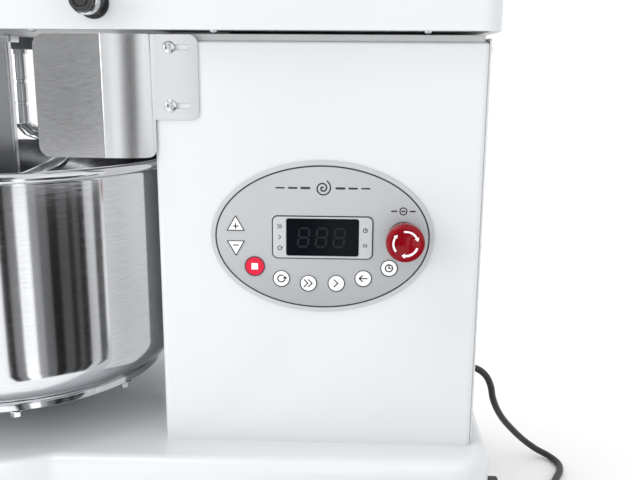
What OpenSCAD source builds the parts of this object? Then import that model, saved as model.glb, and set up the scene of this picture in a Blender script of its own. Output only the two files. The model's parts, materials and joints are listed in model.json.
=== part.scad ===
// Spiral dough mixer, 30 litre class, free-standing on four rubber feet.
// Frame: millimetres, +Z up, Z = 0 is the floor. The bowl is towards -Y, the rear towards +Y,
// and the control panel is on the +X side. X = 0 is the machine's middle plane.

/* [Base] */
// Height of the feet, from the floor to the base's underside
foot_h = 40; // [30:1:60]
// Height of the base casing
base_h = 100; // [90:1:120]
// Radius of the base round the bowl
base_r = 212; // [210:1:220]
// Half width of the base beside the column, at its front
base_half_front = 184; // [180:1:200]
// Half width of the base at its rear
base_half_rear = 178; // [170:1:184]
// Rear face of the base casing
base_rear_y = 383; // [380:1:390]
// How far the rubber wall buffers stand behind the base
buffer_d = 17; // [10:1:25]

/* [Column] */
// Width of the column
col_w = 270; // [260:1:280]
// Depth of the column
col_d = 336; // [330:1:340]
// Front face of the column
col_y0 = 26; // [24:1:30]
// Height of the column's side panels above the base
col_h = 430; // [420:1:440]
// Thickness of the sheet steel casings
sheet = 2.5; // [2:0.5:3]

/* [Head] */
// Half width of the head
head_half = 150; // [146:1:156]
// Height of the head
head_h = 170; // [160:1:175]
// Rear face of the head
head_rear_y = 373; // [370:1:376]
// Where the head's sides start to curve round into the nose
nose_y = -119; // [-125:1:-110]
// Length of the rounded nose
nose_l = 185; // [180:1:190]
// Rounding of the head's upper edge
head_round = 28; // [15:1:40]

/* [Bowl] */
// Outer radius of the bowl's wall
bowl_r = 200; // [196:1:202]
// Height of the bowl
bowl_h = 251; // [240:1:255]
// Bowl axis, from the machine's middle
bowl_y = -188; // [-190:1:-186]
// Thickness of the bowl's sheet
bowl_t = 2; // [1.5:0.5:3]
// Outer radius of the rolled rim
rim_r = 207; // [205:1:209]
// Radius of the turntable under the bowl
disc_r = 173; // [170:1:176]

/* [Spiral] */
// Sideways offset of the spiral's axis
spiral_x = -90; // [-92:1:-90]
// Fore and aft place of the spiral's axis
spiral_y = -206; // [-208:1:-204]
// Radius that the spiral sweeps
spiral_r = 85; // [80:1:85]
// Radius of the spiral's round bar
spiral_bar_r = 9; // [8:0.5:9.5]
// Turns of the spiral below its shaft
spiral_turns = 1.6; // [1.25:0.05:1.75]

/* [Guard] */
// Radius of the guard's outer ring
guard_r = 200; // [195:1:202]
// Angle the guard stands open at rest, degrees
guard_open = 110; // [100:1:115]

/* [Panel] */
// Half length of the oval control panel
panel_a = 116; // [112:1:120]
// Half height of the oval control panel
panel_b = 80; // [76:1:84]
// Middle of the panel, fore and aft
panel_y = 198; // [196:1:200]
// Middle of the panel above the floor
panel_z = 372; // [368:1:376]
// Travel of a panel key
key_travel = 0.6; // [0.4:0.1:0.6]
// Travel of the emergency stop
estop_travel = 5; // [3:0.5:5]

/* [Cord] */
// Diameter of the mains cord
cord_d = 9; // [7:0.5:10]
// Middle of the cord's gland across the rear cover
gland_x = -60; // [-70:1:-50]
// Height of the cord's gland
gland_z = 156; // [155:1:165]

/* [Hidden] */
$fn = 96;
eps = 0.01;
base_z0 = foot_h;
base_z1 = foot_h + base_h;
base_round = 14;
base_side_y = 60;
base_corner = 45;
col_y1 = col_y0 + col_d;
col_x = col_w / 2;
col_z1 = base_z1 + col_h;
col_corner = 6;
collar_h = 7;
collar_inset = 4;
collar_z1 = col_z1 + collar_h;
head_z0 = collar_z1 + 3;
head_z1 = head_z0 + head_h;
head_corner = 22;
plate_t = 6;
bottom_plate_t = 2;
cover_t = 2;
cover_y = col_y1 + cover_t;
bowl_z0 = 191;
rim_z = bowl_z0 + bowl_h;
rim_h = 11;
bowl_corner = 40;
disc_t = 10;
disc_z0 = bowl_z0 - disc_t;
run = 0.05;
shaft_r = 15;
bowl_pulley_r = 110;
bowl_motor_y = 190;
motor_pulley_r = 34;
belt_w = 10;
belt_t = 8;
belt_gap = 0.4;
base_belt_z = 66;
head_belt_z = 706;
spiral_pulley_r = 39;
gearmotor_x = -20;
gearmotor_y = 190;
spiral_motor_pulley_r = 26;
spiral_shaft_r = 9.5;
spiral_top = 470;
spiral_low = 207;
pivot_y = -25;
pivot_z = 605;
ring_z = rim_z + 24;
guard_rod = 5;
guard_wire = 3;
arm_x = 174;
estop_y = 282.5;
estop_z = 374;
panel_x = col_x;
panel_t = 2;
key_face = panel_x + panel_t + 0.8;
// The round keys, each [node's place along the panel, height, radius]
keys = [
    [127.5, 340.5, 10.7], [155.5, 327.7, 9.2], [184, 323, 9.2],
    [213.3, 323.3, 9.2], [241.5, 329, 9.2], [268.2, 340.6, 9.2]
];
arrow_y = 108;
arrow_up_z = 384;
arrow_down_z = 362.5;
arrow_r = 11.5;
// Heights of the rear cover's screws, and how far each row is from the middle
screw_z = [165, 363, 563];
screw_x = 122;
foot_places = [[-130, -290], [130, -290], [-140, 320], [140, 320]];
// The welded post that carries the head: half width, front face, depth and wall
pillar_x = 90;
pillar_y = 40;
pillar_d = 56;
pillar_t = 5;
// Opening behind the post for the cables to the head
cable_gap = 120;
bolt_circle = 165;
bolt_turn = 19.8;
head_screw_places = [for (x = [-141, 141], y = [-90, 90, 300]) [x, y]];
belt_dx = gearmotor_x - spiral_x;
belt_dy = gearmotor_y - spiral_y;
guard_mid_r = 175;
guard_in_r = 150;
// Splash shields: sheet, outward step, the step's end, ends of the sheet, heights of wing and tab
shield_t = 1.5;
shield_step = 13;
shield_fold_y = -20;
shield_y0 = -90;
shield_y1 = 73;
shield_tab_y = 28;
shield_z0 = 454;
shield_z1 = 576;
shield_tab_z = 492;
shield_screw_y = 44;
shield_slot = 18;
shield_screw_z = [506, 563.5];
// The display: its frame and its window, each [y0, y1, z0, z1]
bezel = [147, 250, 350.5, 394];
window = [162, 235, 354, 391];
// Cut-out behind the window, for the board's digits
display_hole = [166, 232, 357, 388];
key_gap = 0.4;
estop_hole_r = 11.3;
gland_r = 8;
gland_flange = 2;
// The free cord's own points, from the strain relief down to the floor and on to the coil
cord_exit_y = 386;
rest_z = cord_d / 2 + 0.25;
cord_route = [
    [gland_x, cord_exit_y, gland_z], [-60, 401, 152.5], [-61, 413, 142], [-63, 420, 127],
    [-67, 424, 110], [-73, 431, 92], [-83, 443, 71], [-96, 460, 49], [-107, 478, 29],
    [-111, 498, 13], [-103, 515, 6.5], [-85, 524, rest_z], [-64, 521, rest_z], [-44, 511, rest_z],
    [-24, 502, rest_z], [0, 498, rest_z], [24, 498, rest_z], [46, 500, rest_z], [66, 500.5, rest_z]
];
// Coil of the spare cord: two layers, lying on the floor
coil_x = 66;
coil_y = 448.5;
coil_outer_r = 52;
coil_r = coil_outer_r - 1.25 * cord_d;
coil_w = 3.5 * cord_d;
coil_h = 2 * cord_d;
floor_gap = 0.1;
// Plug, lying on its side where the coil's outer turn leaves it
plug_x = 152;
plug_y = coil_y + coil_outer_r;
plug_z = rest_z + cord_d;
plug_l = 34;
plug_w = 36;
plug_tail = 24;
plug_tail_r = 7.5;
// Blades: length, width and thickness, and how far they lie from the middle
blade = [17, 6.4, 1.5];
blade_y = -5.5;
blade_z = 6.35;
earth_pin_l = 21;
earth_pin_r = 2.3;
earth_pin_y = 6.4;
// Rear buffers: size of each, how far its middle is from the machine's, and the height it starts at
buffer_w = 36;
buffer_h = 28;
buffer_x = 120;
buffer_z = 60;
// Bowl motor, standing on its flange: the radius and height of each stage, and its terminal box
motor_flange = [80, 6];
motor_body = [66, 170];
motor_cap = [60, 30];
motor_box = [34, 56, 70];
motor_box_x = 64;
motor_box_z = 60;
motor_shaft_r = 9;
// Bowl bearing housing: boss, flange and collar radii, and the bearings' outer radius
housing_boss_r = 40;
housing_z0 = 92;
housing_flange_r = 78;
housing_flange_t = 9;
housing_collar_r = 34;
bearing_r = 27;
bearing_h = 14;
housing_bolt_circle = 62;
housing_bolt_r = 4.2;
hub_r = 30;
hub_h = 18;
bolt_head_r = 6.2;
bolt_head_h = 8;
bolt_r = 3;
// Spiral gearmotor, standing on its foot: half widths and heights of the stages, and the motor's barrel
gear_foot = [60, 10];
gear_case = [52, 60];
gear_boss = [50, 36];
gear_barrel = [38, 98];
gear_barrel_z = 42;
gear_shaft_r = 8;
// Spiral bearing housing: radii below, through and above the head's plate, and the bearings' outer radius
spiral_neck_r = 26;
spiral_neck_h = 14;
spiral_tube_r = 30;
spiral_tube_h = 102;
spiral_flange_r = 38;
spiral_flange_t = 9;
spiral_bearing_r = 22;
spiral_collar_r = 12;
spiral_collar_z = 560;
spiral_shaft_top = 722;
// Heights of the two grooves in the spiral shaft, and their width and depth
groove_z = [495, 523];
groove_w = 5;
groove_d = 1;
// Breaker bar: thickness, width, rear-to-front place, height of its rounded foot's centre, and its flange
bar_t = 12;
bar_w = 47;
bar_y0 = -221;
bar_z = 226;
bar_flange = [28, 61, 8];
// Emergency stop: plunger, neck, collar and nut radii, and the collar's face
plunger_r = 8;
stop_neck_r = 11;
stop_collar_r = 16.5;
stop_nut_r = 15;
stop_collar_t = 9;
stop_head_r = 19.3;
contact_block = [29.6, 30, 40];
// Guard pivot bolts: head, shank and cap
pivot_head_r = 13.5;
pivot_head_h = 17;
pivot_r = 6;
pivot_reach = 36;
pivot_cap_r = 11.2;
pivot_cap_h = 8;
pivot_recess_r = 7;
pivot_nut_r = 11;
guard_hub_r = 13;
guard_hub_w = 12;

// ---------- shared shapes ----------

function arc(cx, cy, r, a0, a1, n) =
    [for (i = [0:n]) [cx + r * cos(a0 + (a1 - a0) * i / n), cy + r * sin(a0 + (a1 - a0) * i / n)]];

module at(x, y, z) { translate([x, y, z]) children(); }

// A cylinder along +X from x0 to x1
module rod_x(x0, x1, y, z, r) { at(x0, y, z) rotate([0, 90, 0]) cylinder(h = x1 - x0, r = r); }

// A cylinder along +Y from y0 to y1
module rod_y(x, y0, y1, z, r) { at(x, y0, z) rotate([-90, 0, 0]) cylinder(h = y1 - y0, r = r); }

module rounded_rect(x0, x1, y0, y1, r) {
    translate([x0 + r, y0]) square([x1 - x0 - 2 * r, y1 - y0]);
    translate([x0, y0 + r]) square([x1 - x0, y1 - y0 - 2 * r]);
    for (x = [x0 + r, x1 - r], y = [y0 + r, y1 - r]) translate([x, y]) circle(r = r);
}

// Outline round two pulleys a distance c apart along +X, the way a belt lies
module belt_outline(r1, r2, c) {
    a = acos((r1 - r2) / c);
    polygon(concat(arc(0, 0, r1, a, 360 - a, 60), arc(c, 0, r2, -a, a, 40)));
}

module belt(r1, r2, c) {
    linear_extrude(belt_w) difference() {
        belt_outline(r1 + belt_gap, r2 + belt_gap, c);
        belt_outline(r1 + belt_gap - belt_t, r2 + belt_gap - belt_t, c);
    }
}

// A grooved pulley for that belt, r is the belt's outer radius, its groove starts at z = 0
module pulley(r, bore) {
    g = r - belt_t;
    rotate_extrude() polygon([
        [bore, -3], [r + 3, -3], [r + 3, -0.5], [g, -0.5], [g, belt_w + 0.5],
        [r + 3, belt_w + 0.5], [r + 3, belt_w + 3], [bore, belt_w + 3]]);
}

// A tube of radius r with n sides, swept along the points p
function unit(v) = v / norm(v);
function heading(p, i) = unit(p[min(i + 1, len(p) - 1)] - p[max(i - 1, 0)]);
function side_of(d) = abs(d[2]) > 0.95 ? unit(cross(d, [1, 0, 0])) : unit(cross(d, [0, 0, 1]));
// Each ring's first side is the last ring's, turned as little as possible
function frames(p, i = 0, last = undef) = i >= len(p) ? [] :
    let (d = heading(p, i),
         s = is_undef(last) ? side_of(d) : unit(last - d * (last * d)))
    concat([[s, cross(d, s)]], frames(p, i + 1, s));
module tube(p, r, n) {
    f = frames(p);
    points = [for (i = [0:len(p) - 1]) for (k = [0:n - 1])
        p[i] + r * (cos(360 * k / n) * f[i][0] + sin(360 * k / n) * f[i][1])];
    sides = [for (i = [0:len(p) - 2]) for (k = [0:n - 1]) for (t = [0, 1])
        t == 0
            ? [i * n + k, (i + 1) * n + (k + 1) % n, i * n + (k + 1) % n]
            : [i * n + k, (i + 1) * n + k, (i + 1) * n + (k + 1) % n]];
    first = [[for (k = [0:n - 1]) k]];
    last = [[for (k = [n - 1:-1:0]) (len(p) - 1) * n + k]];
    polyhedron(points, concat(sides, first, last), convexity = 10);
}

// Catmull-Rom points between a route's own points, k to each span
function spline(q, k) = concat(
    [for (i = [0:len(q) - 2]) for (j = [0:k - 1])
        let (t = j / k, a = q[max(i - 1, 0)], b = q[i], c = q[i + 1],
             d = q[min(i + 2, len(q) - 1)])
        0.5 * (2 * b + (c - a) * t + (2 * a - 5 * b + 4 * c - d) * t * t
            + (3 * b - a - 3 * c + d) * t * t * t)],
    [q[len(q) - 1]]);

// ---------- base ----------

// The base's rear part in plan, made smaller all round by inset
module base_rear_outline(inset) {
    a = base_half_front - inset;
    b = base_half_rear - inset;
    r = base_corner - inset;
    y1 = base_rear_y - inset;
    polygon([[-a, bowl_y], [a, bowl_y], [a, base_side_y], [b, y1 - r], [b - r, y1],
        [-b + r, y1], [-b, y1 - r], [-a, base_side_y]]);
    for (s = [-1, 1]) translate([s * (b - r), y1 - r]) circle(r = r);
}

module base_solid(inset) {
    top = base_z1 - inset;
    r = base_round;
    at(0, bowl_y, 0) rotate_extrude() polygon(concat(
        [[0, base_z0], [base_r - inset, base_z0]],
        arc(base_r - inset - r, top - r, r, 0, 90, 8), [[0, top]]));
    hull() for (i = [0:6]) let (d = r * (1 - cos(90 * i / 6)), h = r * sin(90 * i / 6))
        at(0, 0, i == 0 ? base_z0 : top - r + h - eps)
        linear_extrude(i == 0 ? top - r - base_z0 : eps) base_rear_outline(inset + d, $fn = 32);
}

module base_shell() {
    color("#f0f1f1") difference() {
        base_solid(0);
        at(0, 0, -1) base_solid(sheet);
        at(0, bowl_y, base_z1 - 20) cylinder(h = 40, r = 41);
        at(0, bowl_motor_y, base_z1 - 20) cylinder(h = 40, r = 20);
    }
}

module base_bottom_plate() {
    color("#c9cbcc") at(0, 0, base_z0) linear_extrude(bottom_plate_t) difference() {
        union() {
            translate([0, bowl_y]) circle(r = base_r - sheet - 0.5);
            base_rear_outline(sheet + 0.5);
        }
        for (p = foot_places) translate(p) circle(r = 6.1);
    }
}

module foot_pads() {
    color("#222324") for (p = foot_places) at(p[0], p[1], 0) rotate_extrude()
        polygon([[0, 0], [26, 0], [28, 3], [24, 22], [0, 22]]);
}

module foot_studs() {
    color("#b8babc") for (p = foot_places) at(p[0], p[1], 22) {
        cylinder(h = 30, r = 6);
        cylinder(h = 6, r = 11, $fn = 6);
        at(0, 0, base_z0 - 22 - 8) cylinder(h = 8, r = 11, $fn = 6);
    }
}

module wall_buffers() {
    color("#5a5c5e") for (x = [-buffer_x, buffer_x]) at(x - buffer_w / 2, base_rear_y, buffer_z)
        cube([buffer_w, buffer_d, buffer_h]);
}

// ---------- column ----------

module column_outline(inset) {
    rounded_rect(-col_x + inset, col_x - inset, col_y0 + inset, col_y1 - inset,
        col_corner - min(inset, 4));
}

// What the keys, the emergency stop and the display need cut away between x0 and x1
module panel_holes(x0, x1) {
    for (k = keys) rod_x(x0, x1, k[0], k[1], k[2] + key_gap);
    for (s = [1, -1]) at(x0, arrow_y, s > 0 ? arrow_up_z : arrow_down_z)
        arrow(x1 - x0, arrow_r + 2 * key_gap, s);
    rod_x(x0, x1, estop_y, estop_z, estop_hole_r);
    at(x0, 0, 0) rotate([90, 0, 90]) linear_extrude(x1 - x0) box_outline(display_hole, 0);
}

// The rectangle [y0, y1, z0, z1], made smaller all round by inset
module box_outline(q, inset) {
    translate([q[0] + inset, q[2] + inset]) square([q[1] - q[0] - 2 * inset, q[3] - q[2] - 2 * inset]);
}

// A triangular key along +X, pointing up for s = 1 and down for s = -1
module arrow(h, r, s) {
    rotate([90, 0, 90]) linear_extrude(h)
        polygon([for (a = [90, 210, 330]) [r * cos(a), s * r * sin(a)]]);
}

module column_shell() {
    color("#f1f2f2") difference() {
        at(0, 0, base_z1) linear_extrude(col_h) difference() {
            column_outline(0);
            column_outline(sheet);
        }
        at(-col_x + 18, col_y1 - 10, base_z1 + 20) cube([col_w - 36, 20, col_h - 40]);
        panel_holes(col_x - 10, col_x + 5);
        for (s = [-1, 1], z = shield_screw_z)
            rod_x(s * col_x - 10, s * col_x + 10, shield_screw_y, z, 2.1);
        for (z = screw_z, x = [-screw_x, screw_x]) rod_y(x, col_y1 - 10, col_y1 + 5, z, 2.1);
        rod_y(gland_x, col_y1 - 10, col_y1 + 5, gland_z, gland_r + 0.2);
    }
}

module column_collar() {
    color("#9fa2a4") at(0, 0, col_z1) linear_extrude(collar_h) difference() {
        column_outline(collar_inset);
        translate([-pillar_x, pillar_y]) square([2 * pillar_x, pillar_d + cable_gap]);
    }
}

// The welded box post that carries the head, from the base to the head's plate
module frame_pillar() {
    color("#84888b") at(0, 0, base_z1) linear_extrude(head_z0 - base_z1) difference() {
        translate([-pillar_x, pillar_y]) square([2 * pillar_x, pillar_d]);
        translate([-pillar_x + pillar_t, pillar_y + pillar_t])
            square([2 * (pillar_x - pillar_t), pillar_d - 2 * pillar_t]);
    }
}

module electrical_box() {
    color("#8a8d90") at(-col_x + sheet, 170, 370) cube([62, 140, 170]);
}

module rear_cover() {
    color("#eceded") difference() {
        at(0, 0, 0) rotate([90, 0, 0]) at(0, 0, -cover_y) linear_extrude(cover_t) difference() {
            rounded_rect(-col_x + 4, col_x - 4, base_z1 + 2, col_z1 + 4, 6);
            for (z = screw_z, x = [-screw_x, screw_x]) translate([x, z]) circle(r = 2.3);
            for (i = [0:9]) rounded_slot(-45 + 10 * i, 430);
        }
        rod_y(gland_x, col_y1 - 5, cover_y + 5, gland_z, gland_r + 0.2);
    }
}

module rounded_slot(x, z) {
    translate([x - 2, z]) square([4, 46]);
    for (dz = [0, 46]) translate([x, z + dz]) circle(r = 2);
}

module pan_screw(r, h, shank, l) {
    rotate_extrude() polygon(concat([[0, -l], [shank, -l], [shank, 0], [r, 0]],
        [for (i = [0:4]) [r * cos(90 * i / 4), h * sin(90 * i / 4)]]));
}

module rear_cover_screws() {
    color("#77797b") for (z = screw_z, x = [-screw_x, screw_x])
        at(x, cover_y, z) rotate([-90, 0, 0]) pan_screw(4, 2.4, 2, 9);
}

// ---------- splash shields ----------

// The right shield, a joggled stainless sheet screwed to the column's side
module side_shield() {
    x0 = col_x + 0.2;
    t = shield_t;
    rise = [for (i = [0:8]) [x0 + shield_step * sin(90 * i / 8),
        col_y0 - (col_y0 - shield_fold_y) * (1 - cos(90 * i / 8))]];
    outer = [for (i = [8:-1:0]) [rise[i][0] + t, rise[i][1]]];
    difference() {
        at(0, 0, shield_z0) linear_extrude(shield_z1 - shield_z0) polygon(concat(
            [[x0, shield_y1]], rise,
            [[x0 + shield_step, shield_y0], [x0 + shield_step + t, shield_y0]],
            outer, [[x0 + t, shield_y1]]));
        at(x0 - 5, shield_tab_y, shield_tab_z - 92) cube([40, 60, 92]);
        for (z = shield_screw_z) {
            at(x0 - 5, shield_screw_y, z - 3) cube([20, shield_slot, 6]);
            for (y = [shield_screw_y, shield_screw_y + shield_slot]) rod_x(x0 - 5, x0 + 15, y, z, 3);
        }
        shield_corner(shield_y1, shield_z1, -1, -1, 9);
        shield_corner(shield_y1, shield_tab_z, -1, 1, 9);
        shield_corner(shield_tab_y, shield_z0, -1, 1, 8);
        shield_corner(shield_y0, shield_z0, 1, 1, 12);
        shield_corner(shield_y0, shield_z1, 1, -1, 12);
    }
}

// Cuts a corner of the shield to radius r; (sy, sz) points from the corner into the sheet
module shield_corner(y, z, sy, sz, r) {
    difference() {
        at(col_x - 10, min(y, y + sy * r) - (sy > 0 ? 1 : 0), min(z, z + sz * r) - (sz > 0 ? 1 : 0))
            cube([40, r + 1, r + 1]);
        rod_x(col_x - 11, col_x + 31, y + sy * r, z + sz * r, r);
    }
}

module side_shield_right() { color("#c4c7c9") side_shield(); }

module side_shield_left() { color("#c4c7c9") mirror([1, 0, 0]) side_shield(); }

module shield_screws() {
    color("#a9abad") for (s = [-1, 1], z = shield_screw_z)
        at(s * (col_x + 0.2 + shield_t), shield_screw_y, z) rotate([0, s * 90, 0]) pan_screw(6.3, 3.2, 2, 12);
}

// ---------- control panel ----------

function oval(a, b, n) = [for (i = [0:n - 1]) [a * cos(360 * i / n), b * sin(360 * i / n)]];

module panel_plate() {
    color("#b9bcc0") difference() {
        at(panel_x, panel_y, panel_z) rotate([90, 0, 90]) linear_extrude(panel_t)
            polygon(oval(panel_a, panel_b, 96));
        panel_holes(panel_x - 5, panel_x + 5);
    }
}

module display_bezel() {
    color("#8f9296") at(panel_x + panel_t, 0, 0) rotate([90, 0, 90]) linear_extrude(1.5)
        difference() {
            rounded_rect(bezel[0], bezel[1], bezel[2], bezel[3], 5);
            box_outline(window, 0);
        }
}

module display_window() {
    color("#17181a") at(panel_x + panel_t, 0, 0) rotate([90, 0, 90])
        linear_extrude(1.2) box_outline(window, 0.2);
}

module key(i) {
    k = keys[i];
    rod_x(panel_x - 3, key_face, k[0], k[1], k[2]);
    rod_x(panel_x - 4.2, panel_x - 2.8, k[0], k[1], k[2] + 1.2);
}

module arrow_key(z, s) {
    at(panel_x - 3, arrow_y, z) arrow(key_face - panel_x + 3, arrow_r, s);
    at(panel_x - 4.2, arrow_y, z) arrow(1.4, arrow_r + 2.5, s);
}

module key_stop() { color("#c4122f") key(0); }
module key_auto() { color("#f4f4f4") key(1); }
module key_fast() { color("#f4f4f4") key(2); }
module key_slow() { color("#f4f4f4") key(3); }
module key_reverse() { color("#f4f4f4") key(4); }
module key_time() { color("#f4f4f4") key(5); }
module key_up() { color("#e8e9ea") arrow_key(arrow_up_z, 1); }
module key_down() { color("#e8e9ea") arrow_key(arrow_down_z, -1); }

// The board behind the panel, with a press switch behind each key and the display's digits
module control_board() {
    color("#1f6b45") {
        at(panel_x - 9, 92, 304) cube([1.6, 174, 96]);
        for (k = keys) at(panel_x - 7.5, k[0] - 3, k[1] - 3) cube([2.3, 6, 6]);
        for (z = [arrow_up_z, arrow_down_z]) at(panel_x - 7.5, arrow_y - 3, z - 3) cube([2.3, 6, 6]);
        at(panel_x - 7.5, 168, 359) cube([8, 62, 27]);
    }
}

module estop_head() {
    edge_r = 4;
    color("#b01020") at(panel_x + 15, estop_y, estop_z) rotate([0, 90, 0]) difference() {
        rotate_extrude() polygon(concat([[0, 0], [14, 0], [stop_head_r, 6]],
            arc(stop_head_r - edge_r + 0.2, 17, edge_r, -10, 90, 8), [[9, 18.2], [0, 17.6]]));
        at(0, 0, -1) cylinder(h = 10, r = plunger_r + run);
    }
}

module estop_plunger() {
    color("#303234") rod_x(panel_x - 17, panel_x + 23.5, estop_y, estop_z, plunger_r);
}

module estop_collar() {
    color("#202224") difference() {
        union() {
            rod_x(panel_x - 22, panel_x + panel_t, estop_y, estop_z, stop_neck_r);
            rod_x(panel_x + panel_t, panel_x + stop_collar_t, estop_y, estop_z, stop_collar_r);
            rod_x(panel_x - sheet - 6, panel_x - sheet, estop_y, estop_z, stop_nut_r);
        }
        rod_x(panel_x - 30, panel_x + 20, estop_y, estop_z, plunger_r + run);
    }
}

module estop_contact_block() {
    color("#3a3c3e")
        at(panel_x - 52, estop_y - contact_block.y / 2, estop_z - contact_block.z / 2) cube(contact_block);
}

// ---------- mains cord ----------

module cord_gland() {
    color("#2a2b2c") {
        rod_y(gland_x, col_y1 - 8, cover_y, gland_z, gland_r);
        rod_y(gland_x, cover_y, cover_y + gland_flange, gland_z, 11.5);
        at(gland_x, col_y1 - 8, gland_z) rotate([-90, 0, 0]) cylinder(h = 5, r = 12, $fn = 6);
    }
}

module strain_relief() {
    color("#1c1d1e") at(gland_x, cover_y + gland_flange, gland_z) rotate([-90, 0, 0])
        cylinder(h = cord_exit_y - cover_y - gland_flange, r1 = 8, r2 = cord_d / 2 + 0.6);
}

module power_cord() {
    color("#18191a") {
        tube(spline(cord_route, 4), cord_d / 2, 10);
        rod_x(coil_x, plug_x - plug_tail, plug_y, plug_z, cord_d / 2);
    }
}

module cord_coil() {
    color("#18191a") at(coil_x, coil_y, 0) rotate_extrude()
        rounded_rect(coil_r - coil_w / 2, coil_r + coil_w / 2, floor_gap, 2 * floor_gap + coil_h, 3.5);
}

// Moulded plug with two flat blades and a round earth pin
module power_plug() {
    color("#1a1b1c") {
        at(plug_x, 0, 0) rotate([90, 0, 90]) linear_extrude(plug_l)
            rounded_rect(plug_y - plug_w / 2, plug_y + plug_w / 2, floor_gap, 2 * plug_z - floor_gap, 9);
        rod_x(plug_x - plug_tail, plug_x, plug_y, plug_z, plug_tail_r);
    }
    color("#c8b070") {
        for (z = [-blade_z, blade_z])
            at(plug_x + plug_l, plug_y + blade_y - blade.y / 2, plug_z + z - blade.z / 2) cube(blade);
        rod_x(plug_x + plug_l, plug_x + plug_l + earth_pin_l, plug_y + earth_pin_y, plug_z, earth_pin_r);
    }
}

// ---------- bowl drive ----------

module bowl_motor() {
    cap_z = motor_flange[1] + motor_body[1];
    color("#5d6266") at(0, bowl_motor_y, base_z1) {
        cylinder(h = motor_flange[1], r = motor_flange[0]);
        at(0, 0, motor_flange[1]) cylinder(h = motor_body[1], r = motor_body[0]);
        at(0, 0, cap_z) cylinder(h = motor_cap[1], r = motor_cap[0]);
        at(motor_box_x, -motor_box.y / 2, motor_box_z) cube(motor_box);
    }
}

module bowl_motor_pulley() {
    color("#8b8f92") at(0, bowl_motor_y, base_belt_z) {
        pulley(motor_pulley_r, motor_shaft_r);
        at(0, 0, -3) cylinder(h = base_z1 - base_belt_z + 2, r = motor_shaft_r);
    }
}

module bowl_belt() {
    color("#1d1e1f") at(0, bowl_y, base_belt_z) rotate([0, 0, 90])
        belt(bowl_pulley_r, motor_pulley_r, bowl_motor_y - bowl_y);
}

module bowl_pulley() {
    color("#8b8f92") at(0, bowl_y, base_belt_z) pulley(bowl_pulley_r, shaft_r);
}

module bowl_shaft() {
    color("#a3a6a8") at(0, bowl_y, base_belt_z - 8) cylinder(h = disc_z0 - base_belt_z + 8, r = shaft_r);
}

module bowl_bearing_housing() {
    flange_top = base_z1 + housing_flange_t;
    color("#7d8184") at(0, bowl_y, 0) difference() {
        union() {
            at(0, 0, housing_z0) cylinder(h = base_z1 + 10 - housing_z0, r = housing_boss_r);
            at(0, 0, base_z1) cylinder(h = housing_flange_t, r = housing_flange_r);
            at(0, 0, flange_top) cylinder(h = 8, r = housing_collar_r);
        }
        at(0, 0, housing_z0 - 12) cylinder(h = 90, r = bearing_r);
        for (a = [0:60:300]) rotate([0, 0, a])
            at(housing_bolt_circle, 0, base_z1 - 10) cylinder(h = 30, r = housing_bolt_r);
    }
}

module bowl_bearings() {
    color("#c2c5c7") at(0, bowl_y, 0) for (z = [housing_z0 + 2, base_z1 - 6]) at(0, 0, z) difference() {
        cylinder(h = bearing_h, r = bearing_r);
        at(0, 0, -1) cylinder(h = bearing_h + 2, r = shaft_r + run);
    }
}

module turntable() {
    color("#aeb1b4") at(0, bowl_y, 0) difference() {
        union() {
            at(0, 0, disc_z0) cylinder(h = disc_t, r = disc_r, $fn = 160);
            at(0, 0, disc_z0 - hub_h) cylinder(h = hub_h, r = hub_r);
        }
        at(0, 0, disc_z0 - 30) cylinder(h = 30, r = shaft_r);
        for (i = [0:7]) rotate([0, 0, bolt_turn + 45 * i])
            at(bolt_circle, 0, disc_z0 - 1) cylinder(h = disc_t + 0.3, r = bolt_r + run);
    }
}

module turntable_bolts() {
    color("#b4b7b9") at(0, bowl_y, 0) for (i = [0:7]) rotate([0, 0, bolt_turn + 45 * i])
        at(bolt_circle, 0, disc_z0 - bolt_head_h) {
            cylinder(h = bolt_head_h, r = bolt_head_r, $fn = 6);
            cylinder(h = 16.5, r = bolt_r);
        }
}

module bowl() {
    c = bowl_corner;
    ro = bowl_r;
    ri = ro - bowl_t;
    bead = rim_h / 2;
    color("#b9bcbe") at(0, bowl_y, 0) rotate_extrude($fn = 160) polygon(concat(
        [[0, bowl_z0]],
        arc(ro - c, bowl_z0 + c, c, -90, 0, 12),
        [[ro, rim_z - rim_h - 0.1]],
        arc(rim_r - bead, rim_z - bead, bead, -90, 90, 10),
        arc(ri + 1, rim_z - 1, 1, 90, 180, 3),
        arc(ro - c, bowl_z0 + c, c - bowl_t, 0, -90, 12),
        [[0, bowl_z0 + bowl_t]]));
}

// ---------- head ----------

// The head in plan: straight sides and rear, and a superelliptic nose
module head_outline(inset) {
    a = head_half - inset;
    l = nose_l - inset;
    r = head_corner - min(inset, head_corner - 4);
    y1 = head_rear_y - inset;
    power = 2 / 3;
    nose = [for (i = [0:36]) let (c = cos(5 * i), s = sin(5 * i))
        [-a * sign(c) * pow(abs(c), power), nose_y - l * pow(s, power)]];
    rear = concat(arc(a - r, y1 - r, r, 0, 90, 6), arc(-a + r, y1 - r, r, 90, 180, 6));
    polygon(concat(nose, rear));
}

module head_solid(inset) {
    r = head_round;
    top = head_z1 - inset;
    hull() for (i = [0:6]) let (d = r * (1 - cos(90 * i / 6)), h = r * sin(90 * i / 6))
        at(0, 0, i == 0 ? head_z0 : top - r + h - eps)
        linear_extrude(i == 0 ? top - r - head_z0 : eps) head_outline(inset + d);
}

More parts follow.
